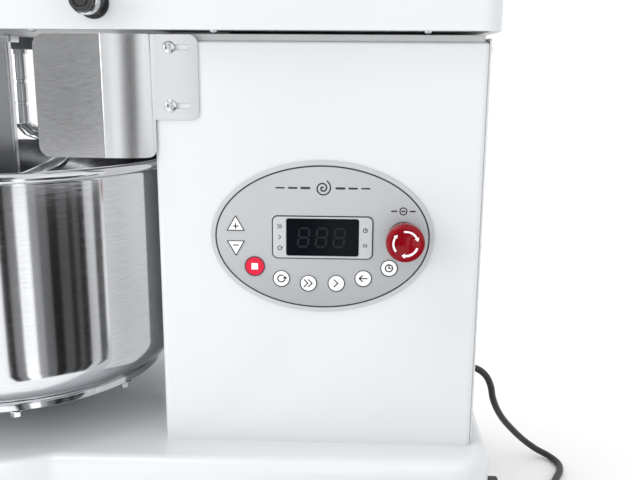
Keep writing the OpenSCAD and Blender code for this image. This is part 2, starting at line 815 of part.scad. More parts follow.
// The hood over the drive, with the screw tabs inside its lower edge
module head_cover() {
    color("#f1f2f2") {
        difference() {
            head_solid(0);
            at(0, 0, -1) head_solid(sheet);
            rod_x(-head_half - 5, head_half + 5, pivot_y, pivot_z, 6.2);
        }
        for (p = head_screw_places) difference() {
            at(min(p[0], sign(p[0]) * (head_half - sheet / 2)) - (p[0] > 0 ? 7 : 0), p[1] - 8,
                head_z0 + plate_t) cube([head_half - sheet / 2 - abs(p[0]) + 7, 16, 2]);
            at(p[0], p[1], head_z0) cylinder(h = 20, r = 2);
        }
    }
}

module head_plate() {
    color("#d4d6d7") at(0, 0, head_z0) linear_extrude(plate_t) difference() {
        head_outline(sheet + 0.4);
        translate([spiral_x, spiral_y]) circle(r = 30);
        for (p = head_screw_places) translate(p) circle(r = 2.2);
    }
}

module head_screws() {
    color("#8d9092") for (p = head_screw_places) at(p[0], p[1], head_z0)
        rotate([180, 0, 0]) pan_screw(4, 2.4, 2, plate_t + 8);
}

// The switch that stops the drive while the guard is open
module guard_switch() {
    color("#c8352c") at(-134, pivot_y - 20, head_z0 + plate_t) cube([22, 40, 52]);
}

// ---------- spiral drive ----------

module spiral_gearmotor() {
    case_z = gear_foot[1];
    boss_z = case_z + gear_case[1];
    color("#5d6266") at(gearmotor_x, gearmotor_y, head_z0 + plate_t) {
        at(-gear_foot[0], -gear_foot[0], 0) cube([2 * gear_foot[0], 2 * gear_foot[0], gear_foot[1]]);
        at(-gear_case[0], -gear_case[0], case_z) cube([2 * gear_case[0], 2 * gear_case[0], gear_case[1]]);
        at(0, 0, boss_z) cylinder(h = gear_boss[1], r = gear_boss[0]);
        at(0, gear_case[0], gear_barrel_z) rotate([-90, 0, 0])
            cylinder(h = gear_barrel[1], r = gear_barrel[0]);
    }
}

module spiral_motor_pulley() {
    shaft_z0 = head_z0 + plate_t + gear_foot[1] + gear_case[1] + gear_boss[1] + 0.5;
    color("#8b8f92") at(gearmotor_x, gearmotor_y, head_belt_z) {
        pulley(spiral_motor_pulley_r, gear_shaft_r);
        at(0, 0, shaft_z0 - head_belt_z) cylinder(h = head_belt_z + 13 - shaft_z0, r = gear_shaft_r);
    }
}

module spiral_belt() {
    color("#1d1e1f") at(spiral_x, spiral_y, head_belt_z) rotate([0, 0, atan2(belt_dy, belt_dx)])
        belt(spiral_pulley_r, spiral_motor_pulley_r, norm([belt_dx, belt_dy]));
}

module spiral_pulley() {
    color("#8b8f92") at(spiral_x, spiral_y, head_belt_z) pulley(spiral_pulley_r, spiral_collar_r);
}

// The outline of a groove cut in a shaft of radius r from height z up
function groove(r, z) =
    [[r, z], [r - groove_d, z + 1], [r - groove_d, z + groove_w - 1], [r, z + groove_w]];

module spiral_shaft() {
    r = spiral_shaft_r;
    color("#b6b9bb") at(spiral_x, spiral_y, 0) rotate_extrude() polygon(concat(
        [[0, spiral_top], [r, spiral_top]], groove(r, groove_z[0]), groove(r, groove_z[1]),
        [[r, spiral_collar_z], [spiral_collar_r, spiral_collar_z],
        [spiral_collar_r, spiral_shaft_top], [0, spiral_shaft_top]]));
}

module spiral_bearing_housing() {
    plate_z1 = head_z0 + plate_t;
    color("#9ea1a4") at(spiral_x, spiral_y, 0) difference() {
        union() {
            at(0, 0, head_z0 - spiral_neck_h) cylinder(h = spiral_neck_h, r = spiral_neck_r);
            at(0, 0, head_z0) cylinder(h = plate_t + spiral_tube_h, r = spiral_tube_r);
            at(0, 0, plate_z1) cylinder(h = spiral_flange_t, r = spiral_flange_r);
        }
        at(0, 0, head_z0 - 10) cylinder(h = 130, r = spiral_bearing_r);
        at(0, 0, head_z0 - 20) cylinder(h = 30, r = spiral_collar_r + 0.6);
    }
}

module spiral_bearings() {
    color("#c2c5c7") at(spiral_x, spiral_y, 0) for (z = [head_z0 + 4, head_z0 + 88])
        at(0, 0, z) difference() {
            cylinder(h = bearing_h, r = spiral_bearing_r);
            at(0, 0, -1) cylinder(h = bearing_h + 2, r = spiral_collar_r + run);
        }
}

// The hook's middle line: out from the shaft, down in widening turns, and in again at the bottom
function hook_radius(t) = (spiral_r - spiral_bar_r)
    * (t < 0.22 ? sin(90 * t / 0.22) : t > 0.86 ? cos(62 * (t - 0.86) / 0.14) : 1);
function hook_height(t) = t < 0.86
    ? spiral_top - 4 - (spiral_top - 4 - spiral_low) * pow(t / 0.86, 1.1) : spiral_low;
function hook_point(t) = let (a = 150 - 360 * spiral_turns * t)
    [hook_radius(t) * cos(a), hook_radius(t) * sin(a), hook_height(t)];

module spiral_hook() {
    color("#b6b9bb") at(spiral_x, spiral_y, 0)
        tube(concat([[0, 0, spiral_top]], [for (i = [1:76]) hook_point(i / 76)]), spiral_bar_r, 12);
}

module breaker_bar() {
    middle_y = bar_y0 + bar_w / 2;
    color("#a6a9ac") {
        at(0, bar_y0, bar_z) cube([bar_t, bar_w, head_z0 - bar_z]);
        at(0, middle_y, bar_z) rotate([0, 90, 0]) cylinder(h = bar_t, r = bar_w / 2 - eps);
        at((bar_t - bar_flange.x) / 2, middle_y - bar_flange.y / 2, head_z0 - bar_flange.z) cube(bar_flange);
    }
}

// ---------- bowl guard ----------

// The guard lying shut over the bowl, with its pivot at the origin
module guard_shut() {
    y0 = bowl_y - pivot_y;
    z0 = ring_z - pivot_z;
    end = acos(arm_x / guard_r);
    at(0, y0, z0) {
        ring_arc(guard_r, guard_rod, 180 - end, 360 + end);
        ring_arc(guard_mid_r, guard_wire, 175, 365);
        ring_arc(guard_in_r, guard_wire, 199, 341);
        for (a = [200:14:340]) guard_rib(a, guard_in_r);
        for (a = [178, 362]) guard_rib(a, guard_mid_r);
    }
    y1 = y0 + guard_r * sin(end);
    for (s = [-1, 1]) {
        at(s * arm_x, 0, 0) rotate([atan2(-y1, z0), 0, 0]) cylinder(h = norm([y1, z0]), r = guard_rod);
        at(s * arm_x, y1, z0) sphere(r = guard_rod + 1);
    }
}

module guard_rib(a, r) {
    rotate([0, 0, a]) at(r, 0, 0) rotate([0, 90, 0])
        cylinder(h = guard_r - r, r = guard_wire - 0.4, $fn = 24);
}

module ring_arc(r, rod, a0, a1) {
    rotate([0, 0, a0]) rotate_extrude(angle = a1 - a0) translate([r, 0]) circle(r = rod, $fn = 24);
}

module guard_frame() {
    color("#b4b7ba") at(0, pivot_y, pivot_z) difference() {
        union() {
            rotate([-guard_open, 0, 0]) guard_shut();
            for (s = [-1, 1])
                rod_x(s * arm_x - guard_hub_w / 2, s * arm_x + guard_hub_w / 2, 0, 0, guard_hub_r);
        }
        rod_x(-190, 190, 0, 0, pivot_r + run);
    }
}

module guard_pivots() {
    cap_z = 31;
    color("#3b3d3f") for (s = [-1, 1]) mirror([s < 0 ? 1 : 0, 0, 0]) at(head_half, pivot_y, pivot_z)
        rotate([0, 90, 0]) {
            cylinder(h = pivot_head_h, r = pivot_head_r, $fn = 6);
            at(0, 0, pivot_reach - 50) cylinder(h = 50, r = pivot_r);
            at(0, 0, -12) cylinder(h = 8, r = pivot_nut_r, $fn = 6);
            difference() {
                at(0, 0, cap_z) cylinder(h = pivot_cap_h, r = pivot_cap_r);
                at(0, 0, cap_z + 5.5) cylinder(h = pivot_cap_h, r = pivot_recess_r);
            }
        }
}

base_shell();
base_bottom_plate();
foot_pads();
foot_studs();
wall_buffers();
column_shell();
column_collar();
rear_cover();
rear_cover_screws();
side_shield_right();
side_shield_left();
shield_screws();
panel_plate();
display_bezel();
display_window();
control_board();
key_stop();
key_auto();
key_fast();
key_slow();
key_reverse();
key_time();
key_up();
key_down();
estop_head();
estop_plunger();
estop_collar();
estop_contact_block();
cord_gland();
strain_relief();
power_cord();
cord_coil();
power_plug();
bowl_motor();
bowl_motor_pulley();
bowl_belt();
bowl_pulley();
bowl_shaft();
bowl_bearing_housing();
bowl_bearings();
turntable();
turntable_bolts();
bowl();
frame_pillar();
electrical_box();
head_plate();
head_cover();
head_screws();
guard_switch();
spiral_gearmotor();
spiral_motor_pulley();
spiral_belt();
spiral_pulley();
spiral_shaft();
spiral_bearing_housing();
spiral_bearings();
spiral_hook();
breaker_bar();
guard_frame();
guard_pivots();
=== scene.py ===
import json
import math

import bmesh
import bpy
from mathutils import Matrix, Vector
from mathutils.geometry import delaunay_2d_cdt


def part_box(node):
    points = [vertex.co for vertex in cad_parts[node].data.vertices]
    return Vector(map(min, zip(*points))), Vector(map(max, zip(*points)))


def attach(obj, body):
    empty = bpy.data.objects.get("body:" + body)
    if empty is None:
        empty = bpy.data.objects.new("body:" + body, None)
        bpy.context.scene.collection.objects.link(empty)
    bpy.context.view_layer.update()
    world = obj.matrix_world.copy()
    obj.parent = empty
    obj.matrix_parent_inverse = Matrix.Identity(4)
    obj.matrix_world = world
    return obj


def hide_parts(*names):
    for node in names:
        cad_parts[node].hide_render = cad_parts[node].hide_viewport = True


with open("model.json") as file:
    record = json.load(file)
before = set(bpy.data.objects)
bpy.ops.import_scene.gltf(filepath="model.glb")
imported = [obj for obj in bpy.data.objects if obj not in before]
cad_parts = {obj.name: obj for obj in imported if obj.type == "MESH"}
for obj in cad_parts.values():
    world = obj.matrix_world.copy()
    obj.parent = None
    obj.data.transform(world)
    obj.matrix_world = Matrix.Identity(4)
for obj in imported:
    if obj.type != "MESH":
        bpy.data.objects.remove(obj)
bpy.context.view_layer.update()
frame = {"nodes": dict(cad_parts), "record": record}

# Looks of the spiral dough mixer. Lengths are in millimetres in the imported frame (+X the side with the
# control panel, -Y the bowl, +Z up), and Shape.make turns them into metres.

MM = 0.001
RECORD = frame["record"]
BODY = {node: body for body, nodes in RECORD["behaviour"]["bodies"].items() for node in nodes}
SLOT = {part["node"]: part["material_slot"] for part in RECORD["subparts"]}


def box(node):
    """Lowest and highest corner of a CAD node, in millimetres."""
    low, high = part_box(node)
    return low / MM, high / MM


def middle(node):
    low, high = box(node)
    return (low + high) / 2


def cosd(angle):
    return math.cos(math.radians(angle))


def sind(angle):
    return math.sin(math.radians(angle))


# ---------- camera ----------

CAMERA_AT = Vector((0.9241, 0.2263, 0.5428))
PITCH, YAW, ROLL = 12.40, 2.21, 0.37
LENS, SENSOR = 43.6, 36.0


def make_camera():
    forward = Vector((-cosd(PITCH) * cosd(YAW), -cosd(PITCH) * sind(YAW), -sind(PITCH)))
    right = forward.cross(Vector((0, 0, 1))).normalized()
    up = right.cross(forward)
    across = right * cosd(ROLL) + up * sind(ROLL)
    above = up * cosd(ROLL) - right * sind(ROLL)
    data = bpy.data.cameras.new("camera")
    data.lens, data.sensor_width = LENS, SENSOR
    data.clip_start = 0.02
    camera = bpy.data.objects.new("camera", data)
    turn = Matrix((across, above, -forward)).transposed().to_4x4()
    camera.matrix_world = Matrix.Translation(CAMERA_AT) @ turn
    bpy.context.scene.collection.objects.link(camera)
    bpy.context.scene.camera = camera


# ---------- materials ----------

def node_of(tree, kind, **values):
    """A new shader node. Values are its properties, or its inputs by name with _ for a space."""
    node = tree.nodes.new(kind)
    for name, value in values.items():
        if hasattr(node, name):
            setattr(node, name, value)
        else:
            node.inputs[name.replace("_", " ")].default_value = value
    return node


def noise_in(tree, scale, centre, detail=4.0, roughness=0.55):
    """Noise over the object's own coordinates in metres, with one scale or one along each axis."""
    scale = scale if isinstance(scale, tuple) else (scale,) * 3
    place = tree.nodes.new("ShaderNodeTexCoord")
    mapping = node_of(tree, "ShaderNodeMapping", Scale=scale)
    mapping.inputs["Location"].default_value = [-c * MM * s for c, s in zip(centre, scale)]
    noise = node_of(tree, "ShaderNodeTexNoise", Scale=1.0, Detail=detail, Roughness=roughness)
    tree.links.new(place.outputs["Object"], mapping.inputs["Vector"])
    tree.links.new(mapping.outputs["Vector"], noise.inputs["Vector"])
    return noise.outputs["Fac"]


LOOK = {}


def surface(name, colour, roughness, metallic=0.0, spread=0.05, rough_spread=0.06,
            grain=60, bump=0.05, bump_grain=1500, bump_height=0.00005,
            centre=(0, 0, 0), coat=0.0, anisotropic=0.0, turned=False, specular=0.5, fade=None):
    """A principled material whose colour and roughness follow one noise and whose relief follows another.

    fade is (height, height, share): the colour at the second height is the given share of the first's.
    LOOK keeps each one by its name.
    """
    made = LOOK[name] = bpy.data.materials.new(name)
    made.use_nodes = True
    tree = made.node_tree
    shader = tree.nodes["Principled BSDF"]
    shader.inputs["Metallic"].default_value = metallic
    shader.inputs["Coat Weight"].default_value = coat
    shader.inputs["Coat Roughness"].default_value = 0.08
    shader.inputs["Anisotropic"].default_value = anisotropic
    shader.inputs["Specular IOR Level"].default_value = specular
    fac = noise_in(tree, grain, centre)
    ramp = node_of(tree, "ShaderNodeValToRGB")
    ramp.color_ramp.elements[0].position = 0.3
    ramp.color_ramp.elements[1].position = 0.7
    ramp.color_ramp.elements[0].color = [c * (1 - spread) for c in colour] + [1]
    ramp.color_ramp.elements[1].color = [min(1, c * (1 + spread)) for c in colour] + [1]
    tree.links.new(fac, ramp.inputs["Fac"])
    tree.links.new(ramp.outputs["Color"], shader.inputs["Base Color"])
    if fade:
        place, split = tree.nodes.new("ShaderNodeTexCoord"), tree.nodes.new("ShaderNodeSeparateXYZ")
        share = node_of(tree, "ShaderNodeMapRange", From_Min=fade[0] * MM, From_Max=fade[1] * MM,
                        To_Min=1.0, To_Max=fade[2])
        dim = node_of(tree, "ShaderNodeVectorMath", operation="SCALE")
        tree.links.new(place.outputs["Object"], split.inputs["Vector"])
        tree.links.new(split.outputs["Z"], share.inputs["Value"])
        tree.links.new(share.outputs["Result"], dim.inputs["Scale"])
        tree.links.new(ramp.outputs["Color"], dim.inputs[0])
        tree.links.new(dim.outputs["Vector"], shader.inputs["Base Color"])
    rough = node_of(tree, "ShaderNodeMapRange", From_Min=0.3, From_Max=0.7,
                    To_Min=max(0.02, roughness - rough_spread), To_Max=roughness + rough_spread)
    tree.links.new(fac, rough.inputs["Value"])
    tree.links.new(rough.outputs["Result"], shader.inputs["Roughness"])
    relief = node_of(tree, "ShaderNodeBump", Strength=bump, Distance=bump_height)
    tree.links.new(noise_in(tree, bump_grain, centre, 3.0), relief.inputs["Height"])
    tree.links.new(relief.outputs["Normal"], shader.inputs["Normal"])
    if turned:
        tangent = node_of(tree, "ShaderNodeTangent", direction_type="RADIAL", axis="Z")
        tree.links.new(tangent.outputs["Tangent"], shader.inputs["Tangent"])
        shader.inputs["Anisotropic Rotation"].default_value = 0.25
    return made


def spangled(name, colour):
    """Galvanised sheet: crystals a few millimetres across, each its own grey."""
    made = surface(name, colour, 0.42, metallic=0.9, bump=0.03)
    tree = made.node_tree
    place = tree.nodes.new("ShaderNodeTexCoord")
    cells = node_of(tree, "ShaderNodeTexVoronoi", Scale=140.0)
    ramp = node_of(tree, "ShaderNodeValToRGB")
    ramp.color_ramp.elements[0].color = [c * 0.78 for c in colour] + [1]
    ramp.color_ramp.elements[1].color = [min(1, c * 1.15) for c in colour] + [1]
    tree.links.new(place.outputs["Object"], cells.inputs["Vector"])
    tree.links.new(cells.outputs["Color"], ramp.inputs["Fac"])
    tree.links.new(ramp.outputs["Color"], tree.nodes["Principled BSDF"].inputs["Base Color"])
    return made


BOWL_AXIS = tuple(middle("bowl"))
SPIRAL_AXIS = tuple(middle("spiral_shaft"))
surface("white_enamel", (0.6, 0.62, 0.635), 0.32, spread=0.006, rough_spread=0.03, grain=5, bump=0.03,
        bump_grain=260, coat=0.2)
spangled("galvanised_steel", (0.6, 0.61, 0.62))
surface("rubber", (0.035, 0.035, 0.037), 0.62, spread=0.25, grain=90, bump=0.25)
surface("zinc_steel", (0.66, 0.67, 0.68), 0.24, metallic=1.0, spread=0.08, grain=300)
surface("grey_steel", (0.5, 0.51, 0.52), 0.4, spread=0.03, grain=20)
surface("stainless_sheet", (0.62, 0.63, 0.645), 0.24, metallic=1.0, spread=0.06, rough_spread=0.03,
        grain=(900, 130, 2600), bump=0.025, bump_grain=(1400, 200, 5200))
surface("stainless_bowl", (0.62, 0.63, 0.65), 0.11, metallic=1.0, spread=0.1, rough_spread=0.04,
        grain=(40, 40, 2200), bump=0.05, bump_grain=(60, 60, 5200), centre=BOWL_AXIS, anisotropic=0.5,
        turned=True)
surface("stainless_tool", (0.6, 0.61, 0.625), 0.2, metallic=1.0, spread=0.03, rough_spread=0.03,
        grain=(40, 40, 1400), bump=0.03, centre=SPIRAL_AXIS)
surface("panel_overlay", (0.43, 0.445, 0.46), 0.42, spread=0.02, grain=(200, 30, 30), bump=0.15,
        bump_grain=3000)
surface("bezel_plastic", (0.435, 0.45, 0.466), 0.4, spread=0.02, grain=60, bump=0.12, bump_grain=3000)
surface("display_glass", (0.003, 0.004, 0.006), 0.12, spread=0.2, rough_spread=0.03, specular=0.06)
surface("circuit_board", (0.02, 0.16, 0.07), 0.45, spread=0.2, grain=400)
surface("key_red", (0.6, 0.003, 0.035), 0.4, specular=0.3, spread=0.04, bump=0.1)
surface("key_white", (0.82, 0.83, 0.84), 0.4, spread=0.015, bump=0.1)
surface("estop_red", (0.2, 0.0004, 0.005), 0.12, spread=0.05, rough_spread=0.03, bump=0.02, specular=0.25)
surface("black_plastic", (0.02, 0.021, 0.022), 0.42, spread=0.2, bump=0.25, bump_grain=2200)
surface("cord_rubber", (0.016, 0.017, 0.019), 0.45, spread=0.25, grain=120, bump=0.3, bump_grain=1300)
surface("motor_paint", (0.07, 0.085, 0.1), 0.5, spread=0.1, bump=0.3, bump_grain=500)
surface("cast_iron", (0.2, 0.205, 0.21), 0.5, metallic=0.8, spread=0.15, bump=0.4, bump_grain=600)
surface("machined_steel", (0.6, 0.6, 0.61), 0.36, metallic=1.0, spread=0.08, grain=(30, 30, 1500))
surface("switch_plastic", (0.25, 0.26, 0.27), 0.5, spread=0.08, bump=0.2)
FIELD = surface("panel_field", (0.395, 0.411, 0.426), 0.42, spread=0.02, grain=(200, 25, 25), bump=0.15,
                bump_grain=3000, fade=(370, 300, 0.78))
INK = surface("ink_dark", (0.022, 0.023, 0.026), 0.45, spread=0.15, bump=0.1)
WHITE_INK = surface("ink_white", (0.82, 0.82, 0.83), 0.4, spread=0.02, bump=0.1)
GHOST = surface("digit_segments", (0.013, 0.015, 0.018), 0.4, specular=0.06, spread=0.1, bump=0.05)
BRASS = surface("pin_brass", (0.68, 0.5, 0.22), 0.26, metallic=1.0, spread=0.08, grain=300)
# Near-black for the screws' cross recesses: painted shade. Only the throwaway meshes in cross_screw carry it;
# the finished screws take their part's own look.
RECESS_SHADE = surface("screw_recess_shade", (0.05, 0.05, 0.052), 0.6, spread=0.2)


# ---------- shapes ----------

def facing(x_axis, y_axis, z_axis):
    """A function of x, y and z that gives a place there, whose own axes point in the given directions."""
    turn = Matrix((x_axis, y_axis, z_axis)).transposed().to_4x4()
    return lambda x=0, y=0, z=0: Matrix.Translation((x, y, z)) @ turn


upright = facing((1, 0, 0), (0, 1, 0), (0, 0, 1))
facing_x = facing((0, 1, 0), (0, 0, 1), (1, 0, 0))
facing_back_x = facing((0, -1, 0), (0, 0, 1), (-1, 0, 0))
facing_y = facing((-1, 0, 0), (0, 0, 1), (0, 1, 0))
facing_down = facing((1, 0, 0), (0, -1, 0), (0, 0, -1))


def arc(cx, cy, r, start, end, steps):
    turn = [start + (end - start) * i / steps for i in range(steps + 1)]
    return [(cx + r * cosd(a), cy + r * sind(a)) for a in turn]


def circle(cx, cy, r, steps=64):
    return arc(cx, cy, r, 0, 360, steps)[:-1]


def rounded_rect(x0, x1, y0, y1, r, steps=6):
    return (arc(x1 - r, y1 - r, r, 0, 90, steps) + arc(x0 + r, y1 - r, r, 90, 180, steps)
            + arc(x0 + r, y0 + r, r, 180, 270, steps) + arc(x1 - r, y0 + r, r, 270, 360, steps))


def ellipse(cx, cy, a, b, steps=160):
    return [(cx + a * x, cy + b * y) for x, y in circle(0, 0, 1, steps)]


def hexagon(r):
    return circle(0, 0, r, 6)


def inset(outline, depth):
    """The anticlockwise outline moved inwards by depth, corner by corner."""
    made = []
    for i, here in enumerate(outline):
        before, after = Vector(outline[i - 1]), Vector(outline[(i + 1) % len(outline)])
        one, two = (Vector(here) - before).normalized(), (after - Vector(here)).normalized()
        n1, n2 = Vector((-one.y, one.x)), Vector((-two.y, two.x))
        made.append(tuple(Vector(here) + (n1 + n2) * (depth / (1 + n1.dot(n2)))))
    return made


def rounded_top(radius, top, angles):
    """(Inset, height) pairs over an edge rounded by radius, whose face is at the height top."""
    return [(radius * (1 - cosd(a)), top - radius * (1 - sind(a))) for a in angles]


def spline(points, steps):
    """Catmull-Rom points through the given ones."""
    p = [Vector(q) for q in points]
    made = []
    for i in range(len(p) - 1):
        a, b, c, d = p[max(i - 1, 0)], p[i], p[i + 1], p[min(i + 2, len(p) - 1)]
        for j in range(steps):
            t = j / steps
            made.append((2 * b + (c - a) * t + (2 * a - 5 * b + 4 * c - d) * t * t
                         + (3 * b - a - 3 * c + d) * t ** 3) / 2)
    return made + [p[-1]]


class Shape:
    """Closed solids gathered into one piece."""

    def __init__(self):
        self.vertices, self.faces, self.marks = [], [], []

    def add(self, vertices, faces, place=None, mark=0):
        place = place or Matrix.Identity(4)
        start = len(self.vertices)
        self.vertices += [place @ Vector(v) for v in vertices]
        self.faces += [[start + i for i in face] for face in faces]
        self.marks += [mark] * len(faces)
        return self

    def loft(self, rings, place=None, looped=False, caps=True, mark=0):
        """Skins rings of equally many points. Looped joins the last ring to the first."""
        n, last = len(rings[0]), len(rings) - 1
        faces = []
        for i in range(len(rings) if looped else last):
            a, b = i * n, (i + 1) % len(rings) * n
            faces += [[a + k, a + (k + 1) % n, b + (k + 1) % n, b + k] for k in range(n)]
        if caps and not looped:
            faces += [list(range(n))[::-1], list(range(last * n, last * n + n))]
        return self.add([v for ring in rings for v in ring], faces, place, mark)

    def prism(self, outline, z0, z1, place=None, edge=0.5, steps=3, mark=0):
        """An outline with its own height and rounded edges."""
        levels = [(0, z0), (0, z1)]
        if edge:
            turn = [90 * i / steps for i in range(steps + 1)]
            low = [(edge * (1 - sind(a)), z0 + edge * (1 - cosd(a))) for a in turn]
            levels = low + [(d, z0 + z1 - z) for d, z in low[::-1]]
        return self.stack(outline, levels, place, mark=mark)

    def stack(self, outline, levels, place=None, looped=False, mark=0):
        """Skins the outline over levels (inset, height)."""
        rings = [[(x, y, z) for x, y in inset(outline, d)] for d, z in levels]
        return self.loft(rings, place, looped, mark=mark)

    def band(self, outer, inner, z0, z1, place=None, mark=0):
        """A flat ring between two outlines of equally many points."""
        rings = [[(x, y, z) for x, y in line] for line, z in
                 ((outer, z0), (outer, z1), (inner, z1), (inner, z0))]
        return self.loft(rings, place, looped=True, mark=mark)

    def lathe(self, profile, place=None, sides=96, looped=False, mark=0):
        """Turns (radius, height) points round local z. A radius of 0 is a point on the axis."""
        vertices, rings = [], []
        for r, z in profile:
            turn = [0] if r <= 0 else [360 * k / sides for k in range(sides)]
            rings.append([len(vertices) + i for i in range(len(turn))])
            vertices += [(r * cosd(a), r * sind(a), z) for a in turn]
        faces = []
        for one, two in zip(rings, rings[1:] + (rings[:1] if looped else [])):
            for k in range(sides):
                j = (k + 1) % sides
                quad = [one[k % len(one)], one[j % len(one)], two[j % len(two)], two[k % len(two)]]
                face = [q for i, q in enumerate(quad) if q not in quad[:i]]
                if len(face) > 2:
                    faces.append(face)
        return self.add(vertices, faces, place, mark)

    def tube(self, path, radius, sides=16, place=None, domed=True, mark=0):
        """A round bar along a path, with domed or flat ends."""
        path = [Vector(p) for p in path]
        last = len(path) - 1
        ahead = [(path[min(i + 1, last)] - path[max(i - 1, 0)]).normalized() for i in range(last + 1)]
        side = ahead[0].orthogonal().normalized()
        circles = [(path[i], ahead[i], radius) for i in range(len(path))]
        if domed:
            cap = [(sind(a) * radius, cosd(a) * radius) for a in (20, 40, 60, 80)]
            circles = ([(path[0] - ahead[0] * h, ahead[0], w) for h, w in cap[::-1]] + circles
                       + [(path[-1] + ahead[-1] * h, ahead[-1], w) for h, w in cap])
        rings = []
        for at, forward, wide in circles:
            side = (side - forward * side.dot(forward)).normalized()
            other = forward.cross(side)
            rings.append([at + (side * cosd(360 * k / sides) + other * sind(360 * k / sides)) * wide
                          for k in range(sides)])
        return self.loft(rings, place, mark=mark)

    def copy_in(self, other, place):
        self.vertices += [place @ v for v in other.vertices]
        start = len(self.vertices) - len(other.vertices)
        self.faces += [[start + i for i in face] for face in other.faces]
        self.marks += other.marks
        return self

    def make(self, name, node, *more_nodes, looks=None, stands_for=True, smooth=35, bevel=0.0):
        """The finished piece. It rides with the CAD node, and stands for it and for more_nodes."""
        mesh = bpy.data.meshes.new(name)
        mesh.from_pydata([tuple(v * MM) for v in self.vertices], [], self.faces)
        for look in looks or [LOOK[SLOT[node]]]:
            mesh.materials.append(look)
        mesh.polygons.foreach_set("material_index", self.marks)
        form = bmesh.new()
        form.from_mesh(mesh)
        bmesh.ops.recalc_face_normals(form, faces=form.faces)
        form.to_mesh(mesh)
        form.free()
        mesh.shade_smooth()
        mesh.set_sharp_from_angle(angle=math.radians(smooth))
        piece = bpy.data.objects.new(name, mesh)
        bpy.context.scene.collection.objects.link(piece)
        if bevel:
            edge = piece.modifiers.new("edges", "BEVEL")
            edge.width, edge.segments, edge.angle_limit = bevel * MM, 2, math.radians(50)
        shade = piece.modifiers.new("shading", "WEIGHTED_NORMAL")
        shade.keep_sharp = True
        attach(piece, BODY[node])
        if stands_for:
            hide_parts(node, *more_nodes)
        return piece


# ---------- mains cord ----------

CORD_D = 9
REST_Z = CORD_D / 2 + 0.25
# Points of the free stretch, from the strain relief down to the floor and on to the coil
ROUTE = [(-60, 386, 156), (-60, 401, 152.5), (-61, 413, 142), (-63, 420, 127), (-67, 424, 110),
         (-73, 431, 92), (-83, 443, 71), (-96, 460, 49), (-107, 478, 29), (-111, 498, 13),
         (-103, 515, 6.5), (-85, 524, REST_Z), (-64, 521, REST_Z), (-44, 511, REST_Z), (-24, 502, REST_Z),
         (0, 498, REST_Z), (24, 498, REST_Z), (46, 500, REST_Z), (66, 500.5, REST_Z)]
COIL_AT = (66, 448.5)
COIL_R, COIL_TURNS = 52, 4
RISE_TURNS = 0.2
PLUG_TAIL_X = 130


def coil_points(steps=40):
    """In on the floor for half the turns, and out again on top of them, a cord's width apart."""
    made, half = [], COIL_TURNS / 2
    for i in range(1, steps * COIL_TURNS + 1):
        turn = i / steps
        radius = COIL_R - CORD_D * min(turn, COIL_TURNS - turn)
        lift = min(1, max(0, (turn - half + RISE_TURNS / 2) / RISE_TURNS))
        angle = 90 - 360 * turn
        made.append(Vector((COIL_AT[0] + radius * cosd(angle), COIL_AT[1] + radius * sind(angle),
                            REST_Z + CORD_D * lift * lift * (3 - 2 * lift))))
    return made


def make_cord():
    path = spline(ROUTE, 6) + coil_points()
    end = path[-1]
    path += [Vector((x, end.y, end.z)) for x in (end.x + 20, end.x + 40, PLUG_TAIL_X)]
    cord = Shape().tube(path, CORD_D / 2, 18, domed=False).make("mains_cord", "power_cord", "cord_coil")
    return cord, [p * MM for p in path]


def make_strain_relief():
    low, high = box("strain_relief")
    at = middle("strain_relief")
    length = high.y - low.y
    profile = [(0, 0), (8, 0), (8, 1.5), (7.4, 2.2)]
    for i in range(5):
        h, r = 2.6 + i * (length - 4) / 5, 7.6 - 0.45 * i
        profile += [(r, h), (r, h + 1.6), (r - 0.9, h + 1.9), (r - 0.9, h + 2.6)]
    profile += [(CORD_D / 2 + 0.5, length - 0.4), (CORD_D / 2 + 0.1, length), (0, length)]
    return Shape().lathe(profile, facing_y(at.x, low.y, at.z), 40).make("strain_relief_boot", "strain_relief")


def make_plug():
    """A moulded plug: a waisted body with grip ribs, two flat blades and a round earth pin."""
    low, high = box("power_plug")
    blade_l, earth_l, earth_y, earth_r = 17, 21, 6.4, 2.3
    _, y, z = middle("power_plug")
    x1 = high.x - earth_l
    wide, tall = (high.y - low.y) / 2, (high.z - low.z) / 2
    # Along x: half the width, half the height, and how square the section is
    stations = [(low.x, 5.8, 5.8, 2), (low.x + 1.2, 6.4, 6.4, 2), (low.x + 18, 7.2, 7.2, 2),
                (low.x + 23, 10.5, 8.6, 2.2), (low.x + 28, 15.5, 0.8 * tall, 2.6),
                (low.x + 33, 17.3, 0.88 * tall, 3), (x1 - 16, 15.6, 0.82 * tall, 3),
                (x1 - 8, wide - 0.6, tall - 0.2, 3.4), (x1 - 1, wide, tall, 3.6),
                (x1, wide - 1, tall - 1, 3.6)]
    rings = []
    for x, a, b, power in stations:
        turn = circle(0, 0, 1, 48)
        rings.append([(x, y + a * math.copysign(abs(c) ** (2 / power), c),
                       z + b * math.copysign(abs(s) ** (2 / power), s)) for c, s in turn])
    plug = Shape().loft(rings)
    for i in range(4):
        rib = [(6.2, 0), (7.6, 0.6), (7.6, 1.6), (6.2, 2.2)]
        plug.lathe(rib, facing_x(low.x + 2.5 + 4 * i, y, z), 32, looped=True)
    for s in (-1, 1):
        blade = rounded_rect(-8.7, -2.3, s * 6.35 - 0.75, s * 6.35 + 0.75, 0.3, 2)
        plug.prism(blade, x1 - 1, x1 + blade_l, facing_x(0, y, z), 0.3, 2, mark=1)
    plug.tube([(x1 - 1, y + earth_y, z), (high.x - earth_r, y + earth_y, z)], earth_r, 24, mark=1)
    return plug.make("mains_plug", "power_plug", looks=[LOOK["cord_rubber"], BRASS])


make_camera()
cord, cord_path = make_cord()
boot = make_strain_relief()
plug = make_plug()


# ---------- screws and bolts ----------

